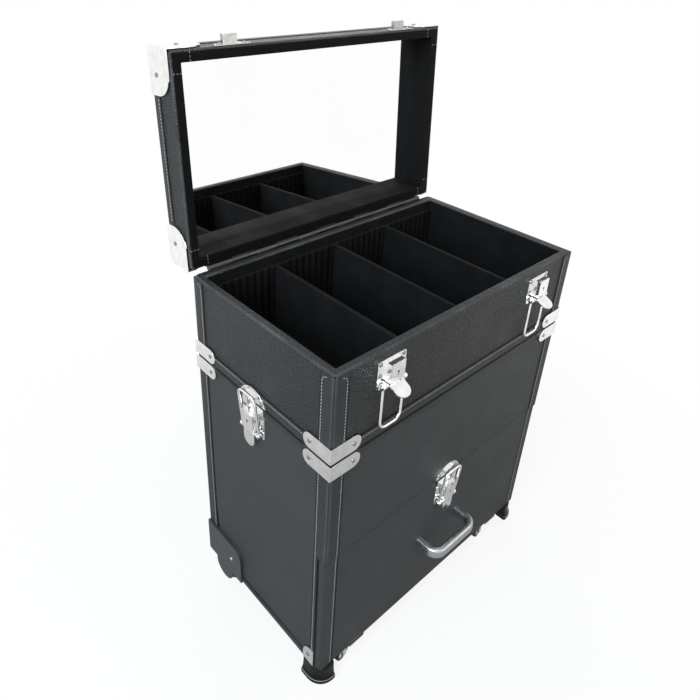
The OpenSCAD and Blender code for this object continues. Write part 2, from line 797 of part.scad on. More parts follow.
module lid_trim() color(leather) swung_open() difference() {
  span([-half_w - trim_t, y_front - trim_t, z_lid_back - lid_strip_h],
    [half_w + trim_t, y_rear + trim_t, z_lid_back + trim_t]);
  span([-half_w, y_front, z_lid], [half_w, y_rear, z_lid_back]);
  span([strip_w - half_w, y_front + strip_w, z_lid], [half_w - strip_w, y_rear - strip_w, z_lid_back + 5]);
}

// Lid cap at a corner at the origin: legs along +X and +Y, and down towards the rim
module lid_cap(leg_x, leg_y) {
  cap_h = lid_h - 2;
  module cheek(leg) {
    translate([-skin_t, -trim_t, skin_t]) mirror([0, 0, 1]) stand_up(metal_t)
      round_far_corner(leg + skin_t, cap_h + skin_t, min(cap_round, leg / 3 * 2));
  }
  cheek(leg_x);
  mirror([1, -1, 0]) cheek(leg_y);
  translate([-skin_t, -skin_t, trim_t]) linear_extrude(metal_t)
    round_far_corner(leg_x + skin_t, leg_y + skin_t, min(cap_round, leg_x / 3 * 2));
}

module lid_cap_rivets(leg_x, leg_y) {
  translate([leg_x / 2, -skin_t, -lid_h / 3]) rivet();
  translate([-skin_t, leg_y * 0.55, -lid_h / 3]) rotate([0, 0, -90]) rivet();
  translate([leg_x * 0.5, leg_y * 0.5, skin_t]) rotate([-90, 0, 0]) rivet();
}

module lid_caps() color(chrome) swung_open() both_sides() {
  translate([-half_w, y_front, z_lid_back]) lid_cap(cap_leg, cap_leg);
  translate([-half_w, y_rear, z_lid_back]) mirror([0, 1, 0]) lid_cap(cap_hinge_leg, cap_leg);
}

module lid_rivets() color(chrome) swung_open() {
  both_sides() {
    translate([-half_w, y_front, z_lid_back]) lid_cap_rivets(cap_leg, cap_leg);
    translate([-half_w, y_rear, z_lid_back]) mirror([0, 1, 0]) lid_cap_rivets(cap_hinge_leg, cap_leg);
  }
  for (side = [-1, 1]) on_front(side * latch_x, z_rim) catch_rivets(0);
}

module lid_catches() color(chrome) swung_open() for (side = [-1, 1])
  on_front(side * latch_x, z_rim) catch(0, lid_hook_out);

// A layer that fills the lid's opening, between two depths below the rim
module lid_layer(near, far) {
  span([-lid_inner_w / 2, y_front + lid_wall_t, z_lid + near],
    [lid_inner_w / 2, y_rear - lid_wall_t, z_lid + far]);
}

module mirror_glass() color("#cfd6da") swung_open() lid_layer(mirror_depth, mirror_depth + mirror_t);

module mirror_backing() color(lining) swung_open() lid_layer(mirror_depth + mirror_t, lid_h - lid_panel_t);

module drawer_front() color(leather)
  span([-half_w, y_front, z_base + drawer_gap], [half_w, y_inner_front, z_drawer_top]);

module drawer_box() color(lining) difference() {
  span([-box_half_w, y_inner_front, z_box], [box_half_w, y_box_back, z_box_top]);
  span([drawer_wall_t - box_half_w, y_inner_front - 1, z_box + drawer_floor_t],
    [box_half_w - drawer_wall_t, y_box_back - drawer_wall_t, z_box_top + 1]);
  both_sides() span([-box_half_w - 1, y_inner_front - 1, z_rail - rail_h / 2 - slide_gap],
    [groove_d - box_half_w, y_box_back + 1, z_rail + rail_h / 2 + slide_gap]);
}

module pull_section() {
  rounded_plate(pull_bar_t, pull_bar_h, 2.4);
}

// Pull: two feet, two bends and a bar, with a flat rounded section
module drawer_pull() color("#a9abad") translate([0, y_front, z_base + pull_rise]) {
  bend = pull_bend_r + pull_bar_t / 2;
  for (side = [0, 1]) mirror([side, 0, 0]) translate([pull_span / 2, 0, 0]) {
    rotate([90, 0, 0]) linear_extrude(pull_reach - bend - pull_bar_t / 2) pull_section();
    translate([-bend, bend + pull_bar_t / 2 - pull_reach, 0]) rotate([0, 0, -90]) rotate_extrude(angle = 90)
      translate([bend, 0]) pull_section();
  }
  translate([bend - pull_span / 2, pull_bar_t / 2 - pull_reach, 0]) rotate([90, 0, 90])
    linear_extrude(pull_span - 2 * bend) pull_section();
}

module drawer_latch_base() color(chrome) on_front(0, z_drawer_top) {
  latch_base();
  latch_step();
  latch_rivets();
}

// Wheel with a crowned tread, dished sides and a hub
module wheel(r, w, bore) {
  crown = w * 0.12;
  dish = w * 0.16;
  hub = bore + (r - bore) * 0.25;
  web = r * 0.72;
  rotate([0, 90, 0]) rotate_extrude($fn = 64) polygon([
    [bore, -w / 2], [hub, -w / 2], [hub, dish - w / 2], [web, dish - w / 2], [web, -w / 2],
    [r - crown, -w / 2], [r, crown - w / 2], [r, w / 2 - crown], [r - crown, w / 2],
    [web, w / 2], [web, w / 2 - dish], [hub, w / 2 - dish], [hub, w / 2], [bore, w / 2]]);
}

module rear_wheel(side) color(black) translate([side * wheel_x, y_wheel, z_wheel])
  wheel(wheel_r, wheel_w, axle_r + run_gap);

// Caster fork, turned to the front: a top plate on the stem, two cheeks and the axle between them
module caster_fork(side) color(chrome)
    translate([side * caster_x, y_caster, 0]) rotate([0, 0, -caster_turn])
    mirror([0, 1, 0]) difference() {
  cheek_x = caster_w / 2 + slide_gap;
  pin = stem_r / 2;
  union() {
    translate([0, 0, fork_low]) linear_extrude(plate_low - slide_gap - fork_low) {
      circle(stem_r + 3.5);
      translate([-cheek_x - cheek_t, 0]) square([2 * (cheek_x + cheek_t), caster_trail + 3]);
    }
    both_sides() {
      across(-cheek_x - cheek_t, cheek_t) {
        translate([caster_trail - 3, caster_r]) square([6, fork_low + 0.5 - caster_r]);
        translate([caster_trail, caster_r]) circle(3);
      }
    }
    translate([-cheek_x - cheek_t, caster_trail, caster_r]) rotate([0, 90, 0])
      cylinder(r = pin, h = 2 * (cheek_x + cheek_t));
  }
  translate([0, 0, fork_low - 1]) cylinder(r = stem_r + run_gap, h = floor_gap);
}

module caster_wheel(side) color(black) translate([side * caster_x, y_caster, caster_r])
  rotate([0, 0, -caster_turn]) translate([0, -caster_trail, 0])
  wheel(caster_r, caster_w, stem_r / 2 + run_gap);

module handle_rods() color("#c8cacd") difference() {
  tube_pair(rod_r, z_tube_low + 6, z_grip);
  tube_pair(rod_r - rod_wall, z_tube_low + 5, z_grip - 6);
}

module button_box(clear, low, high) {
  span([-button_w / 2 - clear, y_tube - button_t / 2 - clear, low],
    [button_w / 2 + clear, y_tube + button_t / 2 + clear, high]);
}

module handle_grip() color(black) difference() {
  translate([-grip_w / 2, y_tube, z_grip + grip_h / 2]) rotate([90, 0, 90]) linear_extrude(grip_w)
    rounded_plate(grip_t, grip_h, 7);
  button_box(slide_gap, z_grip + grip_h - button_h - button_travel, z_grip + grip_h + 1);
}

module handle_button() color("#3a3c40")
  button_box(0, z_grip + grip_h - button_h + slide_gap, z_grip + grip_h + button_travel);

lower_side_panels();
lower_back_panel();
lower_bottom_panel();
lower_shelf();
lower_front_panel();
lower_trim();
lower_brackets();
lower_rivets();
front_feet();
wheel_housings();
wheel_axles();
side_latch_bases();
drawer_catch();
drawer_rails();
handle_channel();
handle_outer_tubes();
caster_plates();
upper_walls();
tray_floor();
tray_dividers();
slot_strips();
upper_trim();
upper_brackets();
upper_rivets();
side_catches();
front_latch_bases();
hinge_lower_leaf();
hinge_pin();
lid_panel();
lid_walls();
lid_trim();
lid_caps();
lid_rivets();
lid_catches();
mirror_glass();  // mirror
mirror_backing();
hinge_upper_leaf();
drawer_front();
drawer_box();
drawer_pull();
drawer_latch_base();
color(chrome) on_front(-latch_x, z_rim) lever(lever_open);  // front_left_lever
color(chrome) on_front(latch_x, z_rim) lever(lever_open);  // front_right_lever
color(chrome) on_left(z_seam) lever(0);  // side_left_lever
color(chrome) on_right(z_seam) lever(0);  // side_right_lever
color(chrome) on_front(0, z_drawer_top) lever(0);  // drawer_lever
color(chrome) on_front(-latch_x, z_rim) bail(180);  // front_left_bail
color(chrome) on_front(latch_x, z_rim) bail(180);  // front_right_bail
color(chrome) on_left(z_seam) bail(bail_lean);  // side_left_bail
color(chrome) on_right(z_seam) bail(bail_lean);  // side_right_bail
color(chrome) on_front(0, z_drawer_top) bail(bail_lean);  // drawer_bail
rear_wheel(-1);  // left_wheel
rear_wheel(1);  // right_wheel
caster_fork(-1);  // left_caster_fork
caster_fork(1);  // right_caster_fork
caster_wheel(-1);  // left_caster_wheel
caster_wheel(1);  // right_caster_wheel
handle_rods();
handle_grip();
handle_button();
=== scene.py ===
"""Looks of the rolling makeup case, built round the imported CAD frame."""

import json
import logging
import math
from dataclasses import dataclass, field
from enum import Enum
from functools import cache
from typing import Iterable, Optional, Sequence

import bpy
import numpy as np
from mathutils import Matrix, Vector


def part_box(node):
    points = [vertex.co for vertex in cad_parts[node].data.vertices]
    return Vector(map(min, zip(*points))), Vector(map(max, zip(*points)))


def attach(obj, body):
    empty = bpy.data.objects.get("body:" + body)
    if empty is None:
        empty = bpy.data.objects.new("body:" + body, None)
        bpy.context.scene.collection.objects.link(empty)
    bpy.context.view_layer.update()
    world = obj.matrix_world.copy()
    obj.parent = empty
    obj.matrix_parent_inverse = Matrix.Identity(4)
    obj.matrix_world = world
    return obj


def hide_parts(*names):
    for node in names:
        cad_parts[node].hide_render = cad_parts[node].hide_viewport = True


LOG = logging.getLogger("makeup_case")
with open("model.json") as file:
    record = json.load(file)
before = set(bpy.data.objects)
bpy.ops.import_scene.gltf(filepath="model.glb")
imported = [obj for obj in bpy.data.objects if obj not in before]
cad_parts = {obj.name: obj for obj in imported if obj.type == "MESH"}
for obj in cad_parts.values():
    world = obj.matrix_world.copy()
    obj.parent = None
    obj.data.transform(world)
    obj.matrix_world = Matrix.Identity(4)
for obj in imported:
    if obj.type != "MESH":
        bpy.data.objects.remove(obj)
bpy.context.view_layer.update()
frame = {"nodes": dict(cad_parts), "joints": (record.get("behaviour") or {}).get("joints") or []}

MM = 0.001
QUARTER = np.pi / 2
UP = (0.0, 0.0, 1.0)
WHITE = (1.0, 1.0, 1.0, 1.0)
Array = np.ndarray
Node = bpy.types.Node
Socket = bpy.types.NodeSocket
Tree = bpy.types.NodeTree


class Slot(Enum):
    """The record's material slots."""

    LEATHER = "leather"
    LINING = "lining"
    CHROME = "chrome"
    MIRROR = "mirror"
    STEEL = "steel"
    ALUMINIUM = "aluminium"
    PLASTIC = "plastic"
    RUBBER = "rubber"


# Shader groups


class NodeDesk:
    """Places and joins nodes in one tree."""

    def __init__(self, tree: Tree) -> None:
        """Keeps the tree to work on."""
        self.tree = tree

    @classmethod
    def cleared(cls, owner: bpy.types.ID) -> "NodeDesk":
        """Gives a material or world an empty tree and returns its desk."""
        owner.use_nodes = True
        owner.node_tree.nodes.clear()
        return cls(owner.node_tree)

    def add(self, kind: str, links: Optional[dict] = None, **values: object) -> Node:
        """Adds a node, sets its properties and joins its inputs.

        Args:
            kind: The node's type name.
            links: Input name or number to the socket that feeds it, or to a plain value.
            **values: Node properties such as operation or feature.

        Returns:
            The new node.
        """
        node = self.tree.nodes.new(kind)
        for key, value in values.items():
            setattr(node, key, value)
        self.join(node, links or {})
        return node

    def join(self, node: Node, links: dict) -> None:
        """Feeds a node's inputs with sockets or plain values."""
        for key, source in links.items():
            if isinstance(source, Socket):
                self.tree.links.new(source, node.inputs[key])
            else:
                node.inputs[key].default_value = source

    def math(self, operation: str, a: object, b: object, clamp: bool = False) -> Socket:
        """Joins two values by a math node and returns its output."""
        return self.add("ShaderNodeMath", {0: a, 1: b}, operation=operation, use_clamp=clamp).outputs[0]

    def remap(self, value: Socket, low: float, high: float, to_low: float, to_high: float) -> Socket:
        """Maps a value from one range to another, smoothly and clamped."""
        links = {0: value, 1: low, 2: high, 3: to_low, 4: to_high}
        return self.add("ShaderNodeMapRange", links, interpolation_type="SMOOTHSTEP").outputs[0]

    def mix(self, factor: object, first: object, second: object) -> Socket:
        """Mixes two colours, each a socket or three plain values, and returns the colour."""
        node = self.add("ShaderNodeMix", {"Factor": factor}, data_type="RGBA")
        colours = {6: first, 7: second}
        self.join(node, {key: c if isinstance(c, Socket) else (*c, 1.0) for key, c in colours.items()})
        return node.outputs[2]

    def vector(self, operation: str, links: dict) -> Node:
        """Adds a vector math node."""
        return self.add("ShaderNodeVectorMath", links, operation=operation)

    def noise(self, place: Socket, scale: object, detail: float) -> Node:
        """Adds a noise texture."""
        return self.add("ShaderNodeTexNoise", {"Vector": place, "Scale": scale, "Detail": detail})

    def bump(self, height: Socket, strength: float, distance: float, **links: Socket) -> Socket:
        """Turns a height into a normal; Normal in the links gives the one to start from."""
        links = {"Height": height, "Strength": strength, "Distance": distance, **links}
        return self.add("ShaderNodeBump", links).outputs[0]

    def group(self, tree: Tree, place: Socket, **values: object) -> bpy.types.NodeOutputs:
        """Places a shared group, joins its inputs and returns its outputs."""
        return self.add("ShaderNodeGroup", {"Vector": place, **values}, node_tree=tree).outputs

    def wear_and_highlight(self) -> Socket:
        """The piece's own attribute for edge wear and painted highlight, nought where it has none."""
        return self.add("ShaderNodeAttribute", attribute_name="wear_and_highlight").outputs["Fac"]


class Effects:
    """Shader groups that several finishes share, each built once."""

    @staticmethod
    def start(name: str, inputs: dict, outputs: Sequence[str]) -> tuple:
        """Makes a group with its sockets.

        Args:
            name: The group's name.
            inputs: Each input's name and start value; those without one are vectors.
            outputs: Names of the value outputs.

        Returns:
            The desk, the group's given sockets and its output node.
        """
        group = bpy.data.node_groups.new(name, "ShaderNodeTree")
        for label, default in inputs.items():
            kind = "NodeSocketVector" if default is None else "NodeSocketFloat"
            made = group.interface.new_socket(name=label, in_out="INPUT", socket_type=kind)
            if default is not None:
                made.default_value = default
        for label in outputs:
            group.interface.new_socket(name=label, in_out="OUTPUT", socket_type="NodeSocketFloat")
        desk = NodeDesk(group)
        return desk, desk.add("NodeGroupInput").outputs, desk.add("NodeGroupOutput")

    @staticmethod
    @cache
    def grain() -> Tree:
        """Pebbled leather: cells bent by noise, their creases, fine pores and a slow tone."""
        inputs = {"Vector": None, "Pebble": 700.0, "Pore": 2600.0}
        desk, given, out = Effects.start("pebbled_grain", inputs, ("Height", "Crease", "Tone"))
        bend = desk.noise(given["Vector"], 240.0, 2.0)
        push = desk.vector("SUBTRACT", {0: bend.outputs["Color"], 1: (0.5, 0.5, 0.5)})
        small = desk.vector("SCALE", {0: push.outputs[0], "Scale": 0.0016})
        place = desk.vector("ADD", {0: given["Vector"], 1: small.outputs[0]})
        cells = {"Vector": place.outputs[0], "Scale": given["Pebble"], "Randomness": 0.95}
        cell = desk.add("ShaderNodeTexVoronoi", cells | {"Smoothness": 0.5}, feature="SMOOTH_F1")
        edge = desk.add("ShaderNodeTexVoronoi", cells, feature="DISTANCE_TO_EDGE")
        pore = desk.noise(given["Vector"], given["Pore"], 3.0)
        slow = desk.noise(given["Vector"], 11.0, 4.0)
        crease = desk.remap(edge.outputs["Distance"], 0.0, 0.16, 1.0, 0.0)
        dome = desk.remap(cell.outputs["Distance"], 0.05, 0.75, 1.0, 0.0)
        rough = desk.math("MULTIPLY", pore.outputs["Fac"], 0.22)
        low = desk.math("MULTIPLY", crease, 0.55)
        height = desk.math("SUBTRACT", desk.math("ADD", dome, rough), low)
        tone = desk.remap(slow.outputs["Fac"], 0.3, 0.7, 0.0, 1.0)
        desk.join(out, {"Height": height, "Crease": crease, "Tone": tone})
        return desk.tree

    @staticmethod
    @cache
    def smears() -> Tree:
        """Handling marks: broad smears and thin scratches as values from 0 to 1."""
        inputs = {"Vector": None, "Smear": 30.0, "Scratch": 260.0}
        desk, given, out = Effects.start("handling_smears", inputs, ("Smear", "Scratch"))
        broad = desk.noise(given["Vector"], given["Smear"], 5.0)
        slant = {"Vector": given["Vector"], "Rotation": (0.5, 0.8, 0.35), "Scale": (1.0, 0.08, 1.0)}
        thin = desk.noise(desk.add("ShaderNodeMapping", slant).outputs[0], given["Scratch"], 3.0)
        smear = desk.remap(broad.outputs["Fac"], 0.38, 0.68, 0.0, 1.0)
        scratch = desk.remap(thin.outputs["Fac"], 0.62, 0.74, 0.0, 1.0)
        desk.join(out, {"Smear": smear, "Scratch": scratch})
        return desk.tree

    @staticmethod
    @cache
    def strands() -> Tree:
        """Lines that run along one axis: brushed metal, ridges or the lay of a thread."""
        inputs = {"Vector": None, "Stretch": None, "Count": 900.0}
        desk, given, out = Effects.start("running_strands", inputs, ("Height",))
        long = desk.vector("MULTIPLY", {0: given["Vector"], 1: given["Stretch"]})
        desk.join(out, {"Height": desk.noise(long.outputs[0], given["Count"], 4.0).outputs["Fac"]})
        return desk.tree


# Finishes


@dataclass(frozen=True)
class Finish:
    """A finish with a name and the record's slot that it belongs to."""

    name: str
    slot: Slot

    def material(self) -> bpy.types.Material:
        """Returns the finish's material, built on first use."""
        found = bpy.data.materials.get(self.name)
        if found is not None:
            return found
        made = bpy.data.materials.new(self.name)
        desk = NodeDesk.cleared(made)
        shader = desk.add("ShaderNodeBsdfPrincipled")
        desk.join(desk.add("ShaderNodeOutputMaterial"), {0: shader.outputs[0]})
        desk.join(shader, self.dress(desk, desk.add("ShaderNodeTexCoord").outputs["Object"]))
        return made

    def dress(self, desk: NodeDesk, place: Socket) -> dict:
        """Returns what feeds the shader's inputs; each finish has its own way."""
        raise NotImplementedError


@dataclass(frozen=True)
class Leather(Finish):
    """Coated leather with pebbles, creases darkened by painted shade, a slow tone, and lighter edges that show edge
    wear and a painted highlight.
    """

    dark: tuple = (0.0365, 0.039, 0.0405)
    light: tuple = (0.0402, 0.043, 0.0446)
    # Colour of lighter edges: edge wear and a painted highlight.
    edge_wear_and_highlight: tuple = (0.1, 0.105, 0.108)
    pebble: float = 820.0
    depth: float = 0.45
    gloss_low: float = 0.47
    gloss_high: float = 0.51
    shine: float = 0.29

    def dress(self, desk: NodeDesk, place: Socket) -> dict:
        """Colour, roughness and bump from the grain, the smears, and the attribute for edge wear and painted
        highlight.
        """
        grain = desk.group(Effects.grain(), place, Pebble=self.pebble, Pore=2600.0)
        smear = desk.group(Effects.smears(), place, Smear=26.0, Scratch=180.0)["Smear"]
        tone = desk.mix(grain["Tone"], self.dark, self.light)
        # Painted shade: the grain's creases are darkened towards a third of the dark tone.
        crease_shade = tuple(c * 0.3 for c in self.dark)
        crease_shaded = desk.mix(desk.math("MULTIPLY", grain["Crease"], 0.85), tone, crease_shade)
        patchy = desk.math("ADD", desk.math("MULTIPLY", smear, 0.4), 0.3)
        # Lighter edges: edge wear and a painted highlight, patchy with the smears.
        wear_and_highlight_share = desk.math("MULTIPLY", desk.wear_and_highlight(), patchy)
        return {
            "Base Color": desk.mix(wear_and_highlight_share, crease_shaded, self.edge_wear_and_highlight),
            "Roughness": desk.remap(smear, 0.0, 1.0, self.gloss_high, self.gloss_low),
            "Specular IOR Level": self.shine,
            "Normal": desk.bump(grain["Height"], self.depth, 0.7 * MM),
        }


@dataclass(frozen=True)
class Flock(Finish):
    """Short black pile: soft noise, a light sheen and a dusty tone."""

    base: tuple = (0.003, 0.003, 0.0033)
    dusty: tuple = (0.0065, 0.0065, 0.0068)

    def dress(self, desk: NodeDesk, place: Socket) -> dict:
        """Colour, roughness and a fine pile bump."""
        grain = desk.group(Effects.grain(), place, Pebble=1500.0, Pore=4200.0)
        smear = desk.group(Effects.smears(), place, Smear=40.0, Scratch=300.0)["Smear"]
        return {
            "Base Color": desk.mix(desk.math("MULTIPLY", smear, 0.7), self.base, self.dusty),
            "Roughness": desk.remap(grain["Tone"], 0.0, 1.0, 0.82, 0.96),
            "Specular IOR Level": 0.12,
            "Sheen Weight": 0.02,
            "Sheen Roughness": 0.5,
            "Normal": desk.bump(grain["Height"], 0.5, 0.3 * MM),
        }


@dataclass(frozen=True)
class Plated(Finish):
    """Plated or bare metal with soft dents, handling marks and lines along one axis where it is drawn."""

    colour: tuple = (0.93, 0.93, 0.92)
    dull: tuple = (0.6, 0.6, 0.595)
    rough_low: float = 0.07
    rough_high: float = 0.18
    stretch: tuple = (1.0, 1.0, 1.0)
    lines: float = 700.0
    line_depth: float = 0.06
    dent: float = 0.22

    def dress(self, desk: NodeDesk, place: Socket) -> dict:
        """A metal whose roughness and tint follow the handling marks."""
        marks = desk.group(Effects.smears(), place, Smear=110.0, Scratch=420.0)
        wave = desk.group(Effects.strands(), place, Stretch=(1.0, 1.0, 1.0), Count=95.0)
        lay = desk.group(Effects.strands(), place, Stretch=self.stretch, Count=self.lines)
        soil = desk.math("MULTIPLY", marks["Smear"], 0.32)
        handled = desk.math("MULTIPLY", marks["Smear"], 0.7)
        both = desk.math("ADD", handled, desk.math("MULTIPLY", marks["Scratch"], 0.5), clamp=True)
        dents = desk.bump(wave["Height"], self.dent, 1.6 * MM)
        return {
            "Base Color": desk.mix(soil, self.colour, self.dull),
            "Metallic": 1.0,
            "Roughness": desk.remap(both, 0.0, 1.0, self.rough_low, self.rough_high),
            "Normal": desk.bump(lay["Height"], self.line_depth, 0.2 * MM, Normal=dents),
        }


@dataclass(frozen=True)
class Silvered(Finish):
    """Flat silvered glass with a faint film of wiping marks."""

    def dress(self, desk: NodeDesk, place: Socket) -> dict:
        """A bright mirror whose roughness barely varies."""
        smear = desk.group(Effects.smears(), place, Smear=9.0, Scratch=60.0)["Smear"]
        return {
            "Base Color": desk.mix(smear, (0.99, 0.992, 0.992), (0.975, 0.98, 0.98)),
            "Metallic": 1.0,
            "Roughness": desk.remap(smear, 0.0, 1.0, 0.004, 0.012),
        }


@dataclass(frozen=True)
class Moulded(Finish):
    """Moulded plastic or rubber: a fine spark texture, smears, dust and a painted highlight on marked edges."""

    base: tuple = (0.0025, 0.0025, 0.0027)
    dusty: tuple = (0.007, 0.007, 0.0073)
    rough_low: float = 0.12
    rough_high: float = 0.24
    spark: float = 1900.0
    depth: float = 0.06
    shine: float = 0.2
    # Colour of the painted highlight on the shoes' ledge and other marked edges.
    painted_highlight: tuple = (0.3, 0.305, 0.31)

    def dress(self, desk: NodeDesk, place: Socket) -> dict:
        """Colour and gloss from smears, a painted highlight where the piece's attribute marks edges, and a fine
        moulded bump.
        """
        grain = desk.group(Effects.grain(), place, Pebble=self.spark, Pore=3600.0)
        smear = desk.group(Effects.smears(), place, Smear=48.0, Scratch=260.0)["Smear"]
        dust = desk.math("MULTIPLY", smear, desk.math("MULTIPLY", grain["Tone"], 0.8))
        return {
            "Base Color": desk.mix(desk.wear_and_highlight(), desk.mix(dust, self.base, self.dusty), self.painted_highlight),
            "Roughness": desk.remap(smear, 0.0, 1.0, self.rough_low, self.rough_high),
            "Specular IOR Level": self.shine,
            "Normal": desk.bump(grain["Height"], self.depth, 0.3 * MM),
        }


@dataclass(frozen=True)
class Thread(Finish):
    """Twisted pale sewing thread."""

    def dress(self, desk: NodeDesk, place: Socket) -> dict:
        """A pale fibre with a fine lay."""
        lay = desk.group(Effects.strands(), place, Stretch=(1.0, 1.0, 0.4), Count=1800.0)["Height"]
        return {
            "Base Color": desk.mix(lay, (0.24, 0.24, 0.245), (0.5, 0.5, 0.51)),
            "Roughness": 0.75,
            "Normal": desk.bump(lay, 0.3, 0.2 * MM),
        }


LEATHER = Leather("grained_leather", Slot.LEATHER)
PEBBLED = Leather(
    "pebbled_leather", Slot.LEATHER, dark=(0.0155, 0.0166, 0.0184), light=(0.02, 0.0214, 0.0236),
    pebble=430.0, depth=1.0, gloss_low=0.36, gloss_high=0.43, shine=0.33,
)
BINDING = Leather(
    "binding_leather", Slot.LEATHER, dark=(0.024, 0.025, 0.026), light=(0.031, 0.0325, 0.034), pebble=900.0, depth=0.35
)
# Painted shade: a darker, duller copy of the leather for the inside of the lid, where less light falls.
SHADED_INSIDE = Leather(
    "shaded_inside_leather", Slot.LEATHER, dark=(0.0055, 0.0055, 0.0057), light=(0.008, 0.008, 0.0082),
    edge_wear_and_highlight=(0.014, 0.014, 0.0145), gloss_low=0.6, gloss_high=0.68, shine=0.07,
)
# Painted shade: near-black leather for thin strips laid where gaps and grooves fall into shade.
GAP_SHADE = Leather(
    "painted_gap_shade_leather", Slot.LEATHER, dark=(0.003, 0.003, 0.003), light=(0.005, 0.005, 0.005),
    edge_wear_and_highlight=(0.01, 0.01, 0.01), shine=0.1,
)
FLOCK = Flock("flock_lining", Slot.LINING)
CHROME = Plated("plated_sheet", Slot.CHROME)
NICKEL = Plated(
    "nickelled_catch", Slot.CHROME, colour=(0.52, 0.52, 0.51), dull=(0.3, 0.3, 0.295), rough_low=0.16, rough_high=0.3
)
RIVET = Plated(
    "dark_rivet", Slot.CHROME, colour=(0.3, 0.3, 0.3), dull=(0.14, 0.14, 0.14), rough_low=0.18, rough_high=0.35
)
# Painted shade: hinge metal made near black, as it sits in shade behind the rim.
SHADED_HINGE_METAL = Plated(
    "shade_darkened_hinge", Slot.CHROME, colour=(0.09, 0.09, 0.092), dull=(0.05, 0.05, 0.05), rough_low=0.3, rough_high=0.5
)
STEEL = Plated(
    "drawn_tube", Slot.STEEL, colour=(0.6, 0.61, 0.63), dull=(0.45, 0.46, 0.48),
    rough_low=0.24, rough_high=0.4, stretch=(1, 1, 0.02), line_depth=0.12,
)
ALUMINIUM = Plated(
    "ridged_aluminium", Slot.ALUMINIUM, colour=(0.56, 0.57, 0.58), dull=(0.4, 0.41, 0.42),
    rough_low=0.26, rough_high=0.42, stretch=(0.03, 1, 1), line_depth=0.15,
)
MIRROR = Silvered("silvered_glass", Slot.MIRROR)
PLASTIC = Moulded("moulded_black", Slot.PLASTIC)
SATIN = Moulded(
    "satin_housing", Slot.PLASTIC, base=(0.03, 0.031, 0.0315), dusty=(0.05, 0.051, 0.052),
    rough_low=0.42, rough_high=0.55, depth=0.18, shine=0.5,
)
RUBBER = Moulded(
    "rubber_tread", Slot.RUBBER, base=(0.014, 0.014, 0.015), dusty=(0.06, 0.058, 0.055),
    rough_low=0.5, rough_high=0.75, depth=0.3, shine=0.5,
)
THREAD = Thread("pale_thread", Slot.LEATHER)


# Surfaces on grids


@dataclass
class Surface:
    """Vertices and faces of one shape, with an optional value for each vertex that marks edge wear and painted
    highlight.
    """

    points: Array
    faces: list
    wear_and_highlight: Optional[Array] = None

    def turned(self, matrix: Array, pivot: Array) -> "Surface":
        """Returns the shape turned about a pivot by a 3 by 3 matrix."""
        return Surface((self.points - pivot) @ matrix.T + pivot, self.faces, self.wear_and_highlight)

    def flipped(self, axis: int) -> "Surface":
        """Returns a closed shape's mirror image along an axis."""
        signs = np.where(np.arange(3) == axis, -1.0, 1.0)
        return Surface(self.points * signs, self.faces, self.wear_and_highlight).outward()

    def outward(self) -> "Surface":
        """Returns a closed shape with its faces turned outwards: its volume, a sum of fans, is above nought."""
        points = self.points - self.points.mean(axis=0)
        fans = (points[face] for face in self.faces)
        volume = sum(float(np.sum(np.cross(fan[1:-1], fan[2:]) @ fan[0])) for fan in fans)
        return self if volume > 0 else Surface(self.points, [face[::-1] for face in self.faces], self.wear_and_highlight)


def grid_faces(rows: int, columns: int, wrap: bool) -> list:
    """Quads of a grid of points numbered row by row, whose last column joins the first.

    Args:
        rows: Number of rows.
        columns: Number of columns.
        wrap: Whether the last row joins the first too.

    Returns:
        One list of four point numbers for each quad.
    """
    r = np.arange(rows if wrap else rows - 1)[:, None]
    c = np.arange(columns)[None, :]
    r2, c2 = (r + 1) % rows, (c + 1) % columns
    corners = (r * columns + c, r * columns + c2, r2 * columns + c2, r2 * columns + c)
    return np.stack(np.broadcast_arrays(*corners), axis=-1).reshape(-1, 4).tolist()


def shell(grid: Array, wrap: bool, wear_and_highlight: Optional[Array] = None) -> Surface:
    """A closed surface over a grid of points, its faces turned outwards.

    Args:
        grid: Points by row and column; the last column joins the first.
        wrap: Whether the last row joins the first; else both ends are filled.
        wear_and_highlight: Values for edge wear and painted highlight that spread over the grid.

    Returns:
        The surface.
    """
    rows, columns = grid.shape[:2]
    faces = grid_faces(rows, columns, wrap)
    if not wrap:
        faces += [list(range(columns))[::-1], list(range((rows - 1) * columns, rows * columns))]
    spread = None if wear_and_highlight is None else np.broadcast_to(wear_and_highlight, (rows, columns)).ravel()
    return Surface(grid.reshape(-1, 3), faces, spread).outward()


def raised(plan: Array, level: Array) -> Array:
    """Plan points by row and column, with their levels as the third value."""
    return np.concatenate([plan, np.broadcast_to(level, plan.shape[:2])[..., None]], axis=-1)


def between(first: Array, second: Array, share: Array) -> Array:
    """Points on the way from one loop to another, a column for each share."""
    return first[:, None] + (second - first)[:, None] * share[None, :, None]


def span(first: Sequence[float], last: Sequence[float]) -> Array:
    """A line of two points."""
    return np.array([first, last], float)


def upright(x: float, y: float, low: float, high: float) -> Array:
    """An upright line."""
    return span((x, y, low), (x, y, high))


def rounded_loop(low: Sequence[float], high: Sequence[float], radius: float | Array, steps: int = 5) -> Array:
    """Points round a rectangle with round corners: each corner is a quarter circle about its own centre.

    Args:
        low: Lowest corner in the plane.
        high: Highest corner in the plane.
        radius: Corner radius, or one for each corner from the highest on against the clock.
        steps: Divisions of each quarter circle.

    Returns:
        Points in order against the clock, four times steps plus one.
    """
    angle = np.linspace(0.0, QUARTER, steps + 1)[None, :] + np.arange(4)[:, None] * QUARTER
    r = np.broadcast_to(np.asarray(radius, float), (4,))[:, None]
    x = np.array([high[0], low[0], low[0], high[0]])[:, None] + r * (np.cos(angle) - [[1], [-1], [-1], [1]])
    y = np.array([high[1], high[1], low[1], low[1]])[:, None] + r * (np.sin(angle) - [[1], [1], [-1], [-1]])
    return np.stack([x, y], axis=-1).reshape(-1, 2)


STACKED = {"z": [0, 1, 2], "y": [0, 2, 1], "x": [1, 2, 0]}
LEAST_CORNER = 0.02


